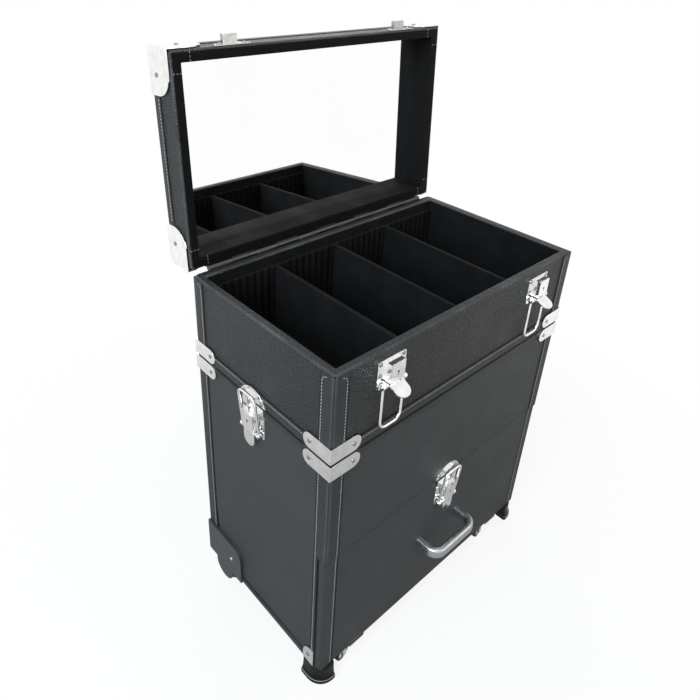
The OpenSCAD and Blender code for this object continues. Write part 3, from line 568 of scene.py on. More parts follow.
def board(
    low: Sequence[float], high: Sequence[float], radius: float, axis: str = "z", steps: int = 4,
    corner: Optional[Array] = None,
) -> Surface:
    """A board with round edges: rounded loops stacked along an axis, drawn in by a quarter circle at both ends.

    Args:
        low: Lowest corner.
        high: Highest corner.
        radius: Radius of all edges.
        axis: The axis along which the loops are stacked.
        steps: Divisions of each quarter circle.
        corner: Radii of the four edges along the axis, where they differ from the others.

    Returns:
        A closed surface whose edges carry a value for edge wear and painted highlight.
    """
    order = STACKED[axis]
    lo, hi = np.array(low)[order], np.array(high)[order]
    turn = np.linspace(0.0, QUARTER, steps + 1)
    both = np.concatenate([turn, turn[::-1]])
    rise = radius * (1 - np.cos(turn))
    level = np.concatenate([lo[2] + rise, hi[2] - rise[::-1]])
    along = np.full(4, radius) if corner is None else corner
    insets = radius * (1 - np.sin(both))
    loops = [rounded_loop(lo[:2] + i, hi[:2] - i, np.maximum(along - i, radius * LEAST_CORNER), steps) for i in insets]
    stacked = raised(np.stack(loops), level[:, None])
    grid = np.empty_like(stacked)
    grid[..., order] = stacked
    # Edges carry edge wear and a painted highlight, strongest half-way round each round.
    return shell(grid, False, np.sin(both * 2)[:, None])


def ring_wall(
    low: Array, high: Array, thickness: float, bottom: float, top: float, corner: float, edge: float
) -> Surface:
    """A four-sided wall: each point lies between an outer and an inner loop, by a profile with round top edges.

    Args:
        low: Lowest outer corner in the plane.
        high: Highest outer corner in the plane.
        thickness: Wall thickness.
        bottom: Lower level.
        top: Upper level.
        corner: Radius of the outer upright corners.
        edge: Radius of the top edges.

    Returns:
        A closed ring.
    """
    steps, inner_corner = 6, 0.6 * MM
    outer = rounded_loop(low, high, corner, steps)
    inner = rounded_loop(low + thickness, high - thickness, inner_corner, steps)
    turn = np.linspace(0.0, QUARTER, steps)
    back = turn[::-1]
    far = thickness - edge * (1 - np.cos(back))
    across = np.concatenate([[0.0], edge * (1 - np.cos(turn)), far, [thickness]]) / thickness
    level = np.concatenate([[bottom], top - edge * (1 - np.sin(turn)), top - edge * (1 - np.sin(back)), [bottom]])
    # The round top edges carry edge wear and a painted highlight.
    wear_and_highlight = np.concatenate([[0.0], np.sin(turn * 2), np.sin(back * 2), [0.0]])
    return shell(raised(between(outer, inner, across), level), True, wear_and_highlight)


def carried(path: Array, out: Array, up: Array, profile: Array) -> Surface:
    """A closed profile carried along a path: each point is the path plus the profile's parts along out and up.

    Args:
        path: Points of the path.
        out: Outward direction at each point.
        up: Second direction at each point.
        profile: Profile points in order.

    Returns:
        A bar with filled ends.
    """
    grid = path[:, None] + out[:, None] * profile[None, :, :1] + up[:, None] * profile[None, :, 1:]
    return shell(grid, False)


def lathe(profile: Array, centre: Array, turns: int = 64) -> Surface:
    """A closed profile of radius and X turned round an axis along X."""
    angle = np.linspace(0.0, 2 * np.pi, turns, endpoint=False)[:, None]
    radius = profile[None, :, 0]
    x = np.broadcast_to(profile[None, :, 1], (turns, len(profile)))
    return shell(np.stack([x, radius * np.cos(angle), radius * np.sin(angle)], axis=-1) + centre, True)


def ribbon(line: Array, normal: Sequence[float], width: float) -> Surface:
    """A thin flat strip that follows a line: a low trapezoid profile carried along it.

    Args:
        line: Points of the line on the surface.
        normal: Direction that the surface faces.
        width: Width of the strip.

    Returns:
        The strip, closed.
    """
    rise = 0.15 * MM
    ahead = np.gradient(line, axis=0)
    ahead /= np.linalg.norm(ahead, axis=1, keepdims=True)
    out = np.broadcast_to(np.array(normal, float), line.shape)
    half = 0.5 * width
    profile = np.array([[0.0, -half], [rise, -0.7 * half], [rise, 0.7 * half], [0.0, half]])
    return carried(line, out, np.cross(out, ahead), profile)


STITCH_PITCH = 3.4 * MM
STITCH_HALF = np.array([1.3, 0.42, 0.34]) * MM


def stitch_rows(rows: Iterable[tuple[Array, Sequence[float]]]) -> Surface:
    """Rows of sewn stitches: one small ellipsoid repeated along each line at an even pitch.

    Args:
        rows: The points of each line with the direction that its surface faces.

    Returns:
        All stitches as one surface.
    """
    rings, around, glance = 3, 6, 0.3 * MM
    u = np.linspace(0.0, np.pi, rings + 2)[1:-1, None]
    v = np.linspace(0.0, 2 * np.pi, around, endpoint=False)[None, :]
    ball = np.broadcast_arrays(np.cos(u), np.sin(u) * np.cos(v), np.sin(u) * np.sin(v))
    bead = np.concatenate([np.stack(ball, axis=-1).reshape(-1, 3), [[1.0, 0.0, 0.0], [-1.0, 0.0, 0.0]]])
    quads = np.array(grid_faces(rings, around, False))[:, ::-1]
    tip, next_one = np.arange(around), (np.arange(around) + 1) % around
    last = (rings - 1) * around
    front = np.stack([np.full(around, len(bead) - 2), tip, next_one], axis=-1)
    back = np.stack([np.full(around, len(bead) - 1), last + next_one, last + tip], axis=-1)
    clouds, count = [], 0
    for line, normal in rows:
        run = np.concatenate([[0.0], np.cumsum(np.linalg.norm(np.diff(line, axis=0), axis=1))])
        at = np.arange(STITCH_PITCH / 2, run[-1], STITCH_PITCH)
        centre = np.stack([np.interp(at, run, line[:, k]) for k in range(3)], axis=-1)
        next_at = np.minimum(at + glance, run[-1])
        along = np.stack([np.interp(next_at, run, line[:, k]) for k in range(3)], axis=-1) - centre
        along /= np.maximum(np.linalg.norm(along, axis=1, keepdims=True), 1e-9)
        rise = np.broadcast_to(np.array(normal, float), along.shape)
        axes = np.stack([along, np.cross(rise, along), rise], axis=1)
        clouds.append((centre[:, None] + (bead * STITCH_HALF) @ axes).reshape(-1, 3))
        count += len(at)
    starts = (np.arange(count) * len(bead))[:, None, None]
    faces = [face for kind in (quads, front, back) for face in (starts + kind).reshape(-1, kind.shape[1]).tolist()]
    return Surface(np.concatenate(clouds), faces)


def joined(shapes: Sequence[Surface]) -> Surface:
    """Several shapes as one surface."""
    starts = np.cumsum([0] + [len(s.points) for s in shapes]).tolist()
    faces = [[i + start for i in face] for shape, start in zip(shapes, starts) for face in shape.faces]
    wear_and_highlight = np.concatenate([np.zeros(len(s.points)) if s.wear_and_highlight is None else s.wear_and_highlight for s in shapes])
    return Surface(np.concatenate([s.points for s in shapes]), faces, wear_and_highlight)


def box_of(node: str) -> tuple[Array, Array]:
    """Lowest and highest corner of a CAD node."""
    low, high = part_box(node)
    return np.array(low), np.array(high)


class Workshop:
    """Turns surfaces into pieces that ride on the frame."""

    WELD = 2e-6
    BROKEN_ABOVE = math.radians(40)

    @staticmethod
    def piece(
        name: str, shape: Surface, finish: Finish, body: str, stands_for: Sequence[str] = (), smooth: float = 35.0
    ) -> bpy.types.Object:
        """Makes a piece, gives it its finish and lets it ride on a body.

        Args:
            name: The piece's name.
            shape: Its surface in the frame's metres.
            finish: Its finish.
            body: The CAD body that carries it.
            stands_for: CAD nodes that it stands for.
            smooth: Angle in degrees up to which edges are shaded smooth.

        Returns:
            The new object.
        """
        mesh = bpy.data.meshes.new(name)
        mesh.from_pydata(shape.points.tolist(), [], shape.faces)
        if shape.wear_and_highlight is not None:
            mesh.attributes.new("wear_and_highlight", "FLOAT", "POINT").data.foreach_set("value", shape.wear_and_highlight.astype(np.float32))
        mesh.materials.append(finish.material())
        mesh.shade_smooth()
        mesh.set_sharp_from_angle(angle=math.radians(smooth))
        made = bpy.data.objects.new(name, mesh)
        bpy.context.scene.collection.objects.link(made)
        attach(made, body)
        if stands_for:
            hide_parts(*stands_for)
        LOG.info("%s: %d faces on %s", name, len(shape.faces), body)
        return made

    @classmethod
    def welded(cls, node: str) -> Surface:
        """A CAD node's triangles with equal corners merged, as one surface."""
        mesh = frame["nodes"][node].data
        points = np.empty(len(mesh.vertices) * 3, np.float32)
        mesh.vertices.foreach_get("co", points)
        points = points.reshape(-1, 3)
        mesh.calc_loop_triangles()
        corners = np.empty(len(mesh.loop_triangles) * 3, np.int32)
        mesh.loop_triangles.foreach_get("vertices", corners)
        keys = np.round(points / cls.WELD).astype(np.int64)
        _, first, number = np.unique(keys, axis=0, return_index=True, return_inverse=True)
        triangles = number.reshape(-1)[corners].reshape(-1, 3)
        whole = np.all(triangles != np.roll(triangles, 1, axis=1), axis=1)
        return Surface(points[first].astype(float), triangles[whole].tolist())

    @classmethod
    def softened(cls, node: str, finish: Finish, body: str, width: float, segments: int = 2) -> bpy.types.Object:
        """A CAD node's form with its edges broken by a small round, standing for the node.

        Args:
            node: The CAD node.
            finish: Its finish.
            body: The body that carries it.
            width: Width of the broken edge in millimetres.
            segments: Divisions of the round.

        Returns:
            The new object.
        """
        made = cls.piece(node + "_form", cls.welded(node), finish, body, [node], smooth=30.0)
        bevel = made.modifiers.new("broken_edge", "BEVEL")
        bevel.width = width * MM
        bevel.segments = segments
        bevel.limit_method = "ANGLE"
        bevel.angle_limit = cls.BROKEN_ABOVE
        bevel.use_clamp_overlap = True
        return made


# The case


@dataclass
class CaseBox:
    """Sizes of the two cases: the main ones read from the frame, those of the trim beside them."""

    low: Array = field(default_factory=lambda: box_of("upper_walls")[0])
    high: Array = field(default_factory=lambda: box_of("upper_walls")[1])
    base: float = field(default_factory=lambda: float(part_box("lower_back_panel")[0].z))
    seam: float = field(default_factory=lambda: float(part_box("lower_back_panel")[1].z))
    drawer_top: float = field(default_factory=lambda: float(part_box("drawer_front")[1].z))
    drawer_gap: float = 0.8 * MM
    wall: float = 9 * MM
    trim: float = 0.8 * MM
    strip: float = 16 * MM
    sewn: float = 13.8 * MM
    upper_strip: float = 12 * MM
    lower_strip: float = 8 * MM
    base_strip: float = 7 * MM
    housing_h: float = 48 * MM
    housing_w: float = 68 * MM
    gap: float = 0.4 * MM
    round: float = 4.2 * MM

    def end(self, axis: int, sign: float) -> float:
        """The case's low or high end along X or Y."""
        return (self.low if sign < 0 else self.high)[axis]

    def along(self, axis: int, place: float, level: float, inset: float) -> Array:
        """A level line along X or Y.

        Args:
            axis: 0 for X, 1 for Y.
            place: Where it lies on the other axis.
            level: Its height.
            inset: How far its ends stop short of the case's.

        Returns:
            Its two points.
        """
        line = np.full((2, 3), level)
        line[:, axis] = self.low[axis] + inset, self.high[axis] - inset
        line[:, 1 - axis] = place
        return line


class Sewing:
    """Painted shade lines along gaps and grooves, and stitch rows of one body."""

    def __init__(self) -> None:
        """Starts with none."""
        self.lines: list[Surface] = []
        self.rows: list[tuple[Array, Sequence[float]]] = []

    def seam(self, line: Array, normal: Sequence[float], width: float) -> None:
        """Adds a dark line of painted shade along a gap or groove, its width in millimetres."""
        self.lines.append(ribbon(line, normal, width * MM))

    def row(self, line: Array, normal: Sequence[float]) -> None:
        """Adds a row of stitches."""
        self.rows.append((line, normal))


class Assembly:
    """Pieces that ride on one body."""

    BODY = ""
    EDGE_TALL = 4 * MM
    EDGE_DEEP = 3 * MM
    SUNK = 0.02 * MM

    def __init__(self, box: CaseBox) -> None:
        """Keeps the case's sizes."""
        self.box = box

    def placed(self, shape: Surface) -> Surface:
        """Puts a shape where the body rests; most are drawn there."""
        return shape

    def piece(self, name: str, shape: Surface, finish: Finish, *stands_for: str, smooth: float = 35.0) -> None:
        """Makes a piece on this body."""
        Workshop.piece(name, self.placed(shape), finish, self.BODY, stands_for, smooth)

    def forms(self, finish: Finish, width: float, *nodes: str, segments: int = 2) -> None:
        """Softens CAD nodes of this body by a width in millimetres."""
        for node in nodes:
            Workshop.softened(node, finish, self.BODY, width, segments)

    def shade_lines(self, stem: str, sewing: Sewing) -> None:
        """Makes a piece of all painted shade lines."""
        self.piece(stem + "_shade_lines", joined(sewing.lines), GAP_SHADE)

    def stitches(self, stem: str, sewing: Sewing) -> None:
        """Makes a piece of all stitches."""
        self.piece(stem + "_stitches", stitch_rows(sewing.rows), THREAD, smooth=60)

    def hinge_shade(self, name: str, low: float, high: float) -> None:
        """A dark board of painted shade along the hinge, just under the wall's rear face, between two levels."""
        b = self.box
        near = (b.low[0] + self.EDGE_TALL, b.high[1] - self.EDGE_DEEP, low)
        far = (b.high[0] - self.EDGE_TALL, b.high[1] - self.SUNK, high)
        self.piece(name, board(near, far, 0.2 * MM, "x", 2), GAP_SHADE)

    def corner_strip(self, s: int, f: int, low: float, high: float, front_leg: bool = True) -> Surface:
        """An L-shaped strip folded round an upright corner: its profile is a quarter circle with two straight legs.

        Args:
            s: Left or right corner, by sign.
            f: Front or rear corner, by sign.
            low: Lower end.
            high: Upper end.
            front_leg: Whether the leg on the front or rear face is there.

        Returns:
            The strip, closed.
        """
        b = self.box
        t, leg, radius = b.trim, b.strip, b.round
        turn = np.linspace(0.0, QUARTER, 7)
        start = np.array([[0.0, leg], [-t * 0.5, leg], [-t, leg - 0.5 * MM]])
        if front_leg:
            arc = radius - t - radius * np.stack([np.cos(turn), np.sin(turn)], axis=-1)
            outline = np.concatenate([start, arc, start[::-1, ::-1], [[0.0, 0.0]]])
        else:
            depth = b.wall + b.gap
            outline = np.concatenate([start, [[-t, depth], [0.0, depth]]])
        fold = 0.2 * MM
        level = np.array([low, low + fold, high - fold, high])
        draw = np.array([0.35, 1.0, 1.0, 0.35])[:, None, None]
        plan = np.where(outline < 0, outline * draw, outline) * (-s, -f) + (b.end(0, s), b.end(1, f))
        wear_and_highlight = np.zeros(plan.shape[:2])
        # The rounded corner carries edge wear and a painted highlight.
        if front_leg:
            wear_and_highlight[:, 3:10] = np.sin(turn * 2)
        return shell(raised(plan, level[:, None]), False, wear_and_highlight)

    def band(self, low: float, high: float) -> Surface:
        """A band round the whole case: a flat profile with round edges carried along a rounded loop."""
        b, edge = self.box, 0.5 * MM
        loop = rounded_loop(b.low[:2], b.high[:2], b.round - b.trim)
        outer = rounded_loop(b.low[:2] - b.trim, b.high[:2] + b.trim, b.round)
        across = np.array([0.0, 0.5, 1.0, 1.0, 0.5, 0.0])
        level = np.array([low, low, low + edge, high - edge, high, high])
        return shell(raised(between(loop, outer, across), level), True)


class LowerCase(Assembly):
    """The wheeled lower case with its binding, metal corners, feet, wheels and pull handle."""

    BODY = "lower_case"
    BRACKET_LEG = 35 * MM
    BEAD = 0.8 * MM
    BEAD_HIGHLIGHT = 1.6
    HOUSING_OUT = 3.3 * MM
    FOOT_LEVEL = np.array([1.0, 1.3, 2.0, 5.0, 5.6, 5.9, 6.1, 8.0, 10.5, 13.5, 17.0, 20.5, 23.2, 24.6, 25.1]) * MM
    FOOT_OUT = np.array([4.2, 4.8, 5.0, 5.0, 4.8, 4.4, 3.8, 3.2, 2.7, 2.4, 2.2, 2.0, 2.0, 1.7, 1.1]) * MM
    FOOT_LEDGE = 5
    FOOT_TOP = 24 * MM
    FOOT_SIDE = 26 * MM
    FOOT_FRONT = 20 * MM
    FOOT_BEND = 15 * MM
    FOOT_INNER = 2.5 * MM
    CASTER_TURN = math.radians(-80)

    def build(self) -> None:
        """Builds every piece of the lower case."""
        self.boards()
        self.trim()
        self.metal()
        self.feet()
        self.wheels()
        self.handle()

    def boards(self) -> None:
        """Covered boards with softened edges, and the lined shelf."""
        self.forms(LEATHER, 1.6, "lower_side_panels", segments=4)
        for node in ("lower_back_panel", "lower_front_panel"):
            self.piece(node + "_board", board(*box_of(node), 0.4 * MM, "y"), LEATHER, node)
        self.piece("lower_shelf_board", board(*box_of("lower_shelf"), 0.6 * MM), FLOCK, "lower_shelf")
        self.forms(LEATHER, 0.8, "lower_bottom_panel")

    def trim(self) -> None:
        """Corner strips, the band under the seam and the strips along the bottom, with painted shade lines in their
        gaps and grooves, and stitches.
        """
        b, sew = self.box, Sewing()
        front, rear = b.low[1], b.high[1]
        band_low, shelf = b.seam - b.lower_strip, b.drawer_top + b.drawer_gap
        rear_low, foot = b.base + b.housing_h + b.gap, b.base + 1 * MM
        turn = np.linspace(-QUARTER, QUARTER, 9)
        roll = np.stack([np.cos(turn), np.sin(turn)], axis=-1) * self.BEAD
        shapes, beads = [self.band(band_low, b.seam)], []
        for s in (-1, 1):
            x, side = b.end(0, s), (s, 0, 0)
            out = x + s * b.trim
            shapes.append(self.corner_strip(s, -1, shelf, band_low))
            shapes.append(self.corner_strip(s, -1, b.base, shelf, front_leg=False))
            shapes.append(self.corner_strip(s, 1, rear_low, band_low))
            ends = ((-1, front, b.base, foot, shelf, 0.5, 1.2), (1, rear, rear_low, rear_low, rear_low, 0.6, 1.6))
            for f, y, seam_low, row_low, face_low, off, width in ends:
                sew.row(upright(out, y - f * b.sewn, row_low, band_low), side)
                sew.row(upright(x - s * b.sewn, y + f * b.trim, face_low, band_low), (0, f, 0))
                # Dark lines of painted shade in the grooves beside the strips.
                sew.seam(upright(x, y - f * (b.strip + off * MM), seam_low, band_low), side, width)
                sew.seam(upright(x - s * (b.strip + 0.5 * MM), y, face_low, band_low), (0, f, 0), 1.4)
            # Painted shadow of the gap beside the drawer front.
            sew.seam(upright(out, front + b.wall + b.gap + 0.7 * MM, foot, shelf), side, 1.5)
            y0, y1 = front + b.strip, rear - b.housing_w
            low = (min(x, out), y0, b.base)
            high = (max(x, out), y1 - b.gap, b.base + b.base_strip)
            shapes.append(board(low, high, 0.35 * MM, "x", 2))
            line, edge = b.base + b.base_strip + 0.6 * MM, b.base + 0.9 * MM
            # Painted shade in the groove above the bottom strip.
            sew.seam(span((x, y0, line), (x, y1, line)), side, 1.3)
            path = span((out, y0, edge), (out, y1, edge))
            beads.append(carried(path, span(side, side), span(UP, UP), roll))
            # Painted shadow under the seam between the two cases, on all four sides.
            top = b.seam - 1.1 * MM
            sew.seam(b.along(1, out, top, self.BRACKET_LEG), side, 2.0)
            sew.seam(b.along(0, b.end(1, s) + s * b.trim, top, self.BRACKET_LEG), (0, s, 0), 2.0)
        piping = joined(beads)
        # Painted highlight: the bead gets a lighter tone than any worn edge, as light along its round top.
        piping.wear_and_highlight = np.full(len(piping.points), self.BEAD_HIGHLIGHT)
        self.piece("lower_piping", piping, BINDING, smooth=60)
        self.piece("lower_binding", joined(shapes), BINDING, "lower_trim")
        self.shade_lines("lower", sew)
        self.stitches("lower", sew)

    def metal(self) -> None:
        """Brackets, latch bases, the drawer's catch and rails, and rivets: dark, but plated on the wheel housings."""
        for node, width in (("lower_brackets", 0.35), ("side_latch_bases", 0.22), ("drawer_catch", 0.25)):
            self.forms(CHROME, width, node)
        rivets = Workshop.softened("lower_rivets", RIVET, self.BODY, 0.3).data
        rivets.materials.append(CHROME.material())
        middle = np.empty(len(rivets.polygons) * 3, np.float32)
        rivets.polygons.foreach_get("center", middle)
        on_housing = np.abs(middle[::3]) > self.box.high[0] + self.HOUSING_OUT
        rivets.polygons.foreach_set("material_index", on_housing.astype(np.int32))
        self.forms(STEEL, 0.4, "drawer_rails")

    def feet(self) -> None:
        """Glossy corner shoes: rounded loops stacked upwards, wide at the sole and drawn in to the top lip."""
        b, inner = self.box, self.FOOT_INNER
        x, y = b.low[:2]
        loops = []
        for out in self.FOOT_OUT:
            radii = np.array([inner, inner, self.FOOT_BEND + out, inner])
            loops.append(rounded_loop((x - out, y - out), (x + self.FOOT_FRONT, y + self.FOOT_SIDE), radii, 9))
        # The ledge ring gets the painted highlight.
        ledge_highlight = np.arange(len(loops)) == self.FOOT_LEDGE
        shoe = shell(raised(np.stack(loops), self.FOOT_LEVEL[:, None]), False, ledge_highlight.astype(float)[:, None])
        near = (x + b.wall, y + b.wall + b.gap, self.FOOT_TOP)
        far = (x + self.FOOT_FRONT - 1 * MM, y + self.FOOT_SIDE - 1 * MM, b.base)
        pad = board(near, far, 0.5 * MM)
        pair = joined([shoe, pad, shoe.flipped(0), pad.flipped(0)])
        self.piece("corner_shoes", pair, PLASTIC, "front_feet", smooth=50)

    def wheels(self) -> None:
        """Wheel housings, axles, treaded wheels and the two casters."""
        self.forms(SATIN, 0.8, "wheel_housings", segments=3)
        self.forms(CHROME, 0.3, "wheel_axles")
        self.forms(CHROME, 0.25, "caster_plates")
        for name in ("left", "right"):
            Workshop.softened(name + "_caster_fork", CHROME, name + "_caster", 0.25)
            self.wheel(name + "_wheel", 3.55 * MM, 5)
            self.wheel(name + "_caster_wheel", 1.55 * MM, 1, self.CASTER_TURN, True)

    @staticmethod
    def wheel(node: str, bore: float, grooves: int, swivel: float = 0.0, capped: bool = False) -> None:
        """A wheel turned from a profile: crowned tread cut by round grooves, a lip, a dished web and a hub.

        Args:
            node: The CAD wheel that it stands for, also the name of its body.
            bore: Radius of the hole.
            grooves: Number of grooves round the tread.
            swivel: Angle by which its axle is turned about the upright, in radians.
            capped: Whether plated caps fill the dished sides.
        """
        low, high = box_of(node)
        radius = (high[2] - low[2]) / 2
        reach = (high[0] - low[0] + high[1] - low[1]) / (abs(math.cos(swivel)) + abs(math.sin(swivel)))
        width = reach - 2 * radius
        half = width / 2
        centre, turn = (low + high) / 2, np.array(Matrix.Rotation(swivel, 3, "Z"))
        s = np.linspace(-1.0, 1.0, 16 * grooves + 9)
        groove = (0.5 - 0.5 * np.cos((s + 1) * np.pi * grooves)) ** 6
        crown = np.stack([radius - 0.05 * width * s**4 - 0.02 * width * groove, s * half * 0.86], axis=-1)
        web, hub, dish = radius * 0.72, bore + (radius - bore) * 0.25, half * 0.3
        right = np.array([
            [radius - 0.1 * width, half * 0.97], [radius - 0.16 * width, half], [web + 0.04 * radius, half],
            [web, half - 0.2 * dish], [web - 0.03 * radius, half - dish], [hub + 0.04 * radius, half - dish],
            [hub, half - 0.2 * dish], [hub - 0.03 * radius, half], [bore, half],
        ])
        other = np.array([1.0, -1.0])
        tyre = lathe(np.concatenate([crown, right, right[::-1] * other]), centre)
        Workshop.piece(node + "_tyre", tyre.turned(turn, centre), RUBBER, node, [node], smooth=40)
        if capped:
            rim, face = web - 0.02 * radius, half - 0.12 * dish
            low_rim, edge = face - 0.3 * dish, rim - 0.06 * radius
            disc = np.array([[bore, half - dish], [rim, half - dish], [rim, low_rim], [edge, face], [bore, face]])
            caps = joined([lathe(disc, centre), lathe(disc * other, centre)])
            Workshop.piece(node + "_caps", caps.turned(turn, centre), CHROME, node)

    def handle(self) -> None:
        """The pull handle on the back: channel, tubes, rods, grip and button."""
        self.forms(PLASTIC, 0.8, "handle_channel", segments=3)
        self.forms(STEEL, 0.25, "handle_outer_tubes")
        Workshop.softened("handle_rods", STEEL, "pull_handle", 0.2)
        Workshop.softened("handle_grip", PLASTIC, "pull_handle", 1.5, 4)
        Workshop.softened("handle_button", PLASTIC, "handle_button", 0.9, 3)


class TrayCase(Assembly):
    """The upper tray case with its walls, lining, binding, latches and hinge."""

    BODY = "upper_case"
    COVER_INSET = 8 * MM
    SKIN = 0.15 * MM
    HOOK = 6 * MM

    def build(self) -> None:
        """Builds every piece of the tray case."""
        b = self.box
        walls = ring_wall(b.low[:2], b.high[:2], b.wall, b.low[2], b.high[2], b.round - b.trim, 2.6 * MM)
        self.piece("tray_walls", walls, PEBBLED, "upper_walls")
        inset, thickness = self.COVER_INSET, b.wall - self.COVER_INSET + self.SKIN
        bottom, top = b.low[2] + 4 * MM, b.high[2] - 2.3 * MM
        cover = ring_wall(b.low[:2] + inset, b.high[:2] - inset, thickness, bottom, top, 0.3 * MM, 0.1 * MM)
        self.piece("tray_inside_cover", cover, FLOCK)
        self.forms(FLOCK, 0.5, "tray_floor")
        self.forms(FLOCK, 1.2, "tray_dividers", segments=3)
        self.forms(FLOCK, 0.4, "slot_strips")
        self.trim()
        for node, width in (("upper_brackets", 0.35), ("side_catches", 0.25), ("front_latch_bases", 0.22)):
            self.forms(CHROME, width, node)
        self.forms(RIVET, 0.3, "upper_rivets")
        self.hinge_shade("tray_hinge_shade", b.high[2] - self.EDGE_TALL, b.high[2] - self.SUNK)
        self.forms(SHADED_HINGE_METAL, 0.2, "hinge_lower_leaf", "hinge_pin")

    def trim(self) -> None:
        """Corner strips and the band along the bottom, with painted shade lines along their edges and stitches that
        turn in under the rim.
        """
        b, sew = self.box, Sewing()
        band_top, rim, off = b.low[2] + b.upper_strip, b.high[2] - 3 * MM, b.strip + 0.5 * MM
        shapes = [self.band(b.low[2], band_top)]
        line, row, row_end = band_top + 0.7 * MM, band_top - 2.6 * MM, 2 * MM
        for s in (-1, 1):
            x, side = b.end(0, s), (s, 0, 0)
            for f in (-1, 1):
                y, face = b.end(1, f), (0, f, 0)
                shapes.append(self.corner_strip(s, f, band_top, b.high[2] - 1.2 * MM))
                sew.row(self.hooked((x + s * b.trim, y - f * b.sewn), (0, f), band_top), side)
                sew.row(self.hooked((x - s * b.sewn, y + f * b.trim), (s, 0), band_top), face)
                # Dark lines of painted shade beside the strips.
                sew.seam(upright(x, y - f * off, band_top, rim), side, 1.1)
                sew.seam(upright(x - s * off, y, band_top, rim), face, 1.1)
            for axis, normal in ((1, side), (0, (0, s, 0))):
                place = b.end(1 - axis, s)
                sew.seam(b.along(axis, place, line, b.strip + 1 * MM), normal, 1.5)
                sew.row(b.along(axis, place + s * b.trim, row, row_end), normal)
        self.piece("tray_binding", joined(shapes), BINDING, "upper_trim")
        self.shade_lines("tray", sew)
        self.stitches("tray", sew)

    def hooked(self, plan: Sequence[float], towards: Sequence[float], low: float) -> Array:
        """An upright stitch line that turns towards the corner by a quarter circle under the rim."""
        radius, top = self.HOOK, self.box.high[2] - 5 * MM
        turn = np.linspace(0.0, QUARTER, 7)
        side = radius * (1 - np.cos(turn))
        rise = top - radius + radius * np.sin(turn)
        arc = np.stack([plan[0] + towards[0] * side, plan[1] + towards[1] * side, rise], axis=-1)
        return np.concatenate([[[*plan, low]], arc])


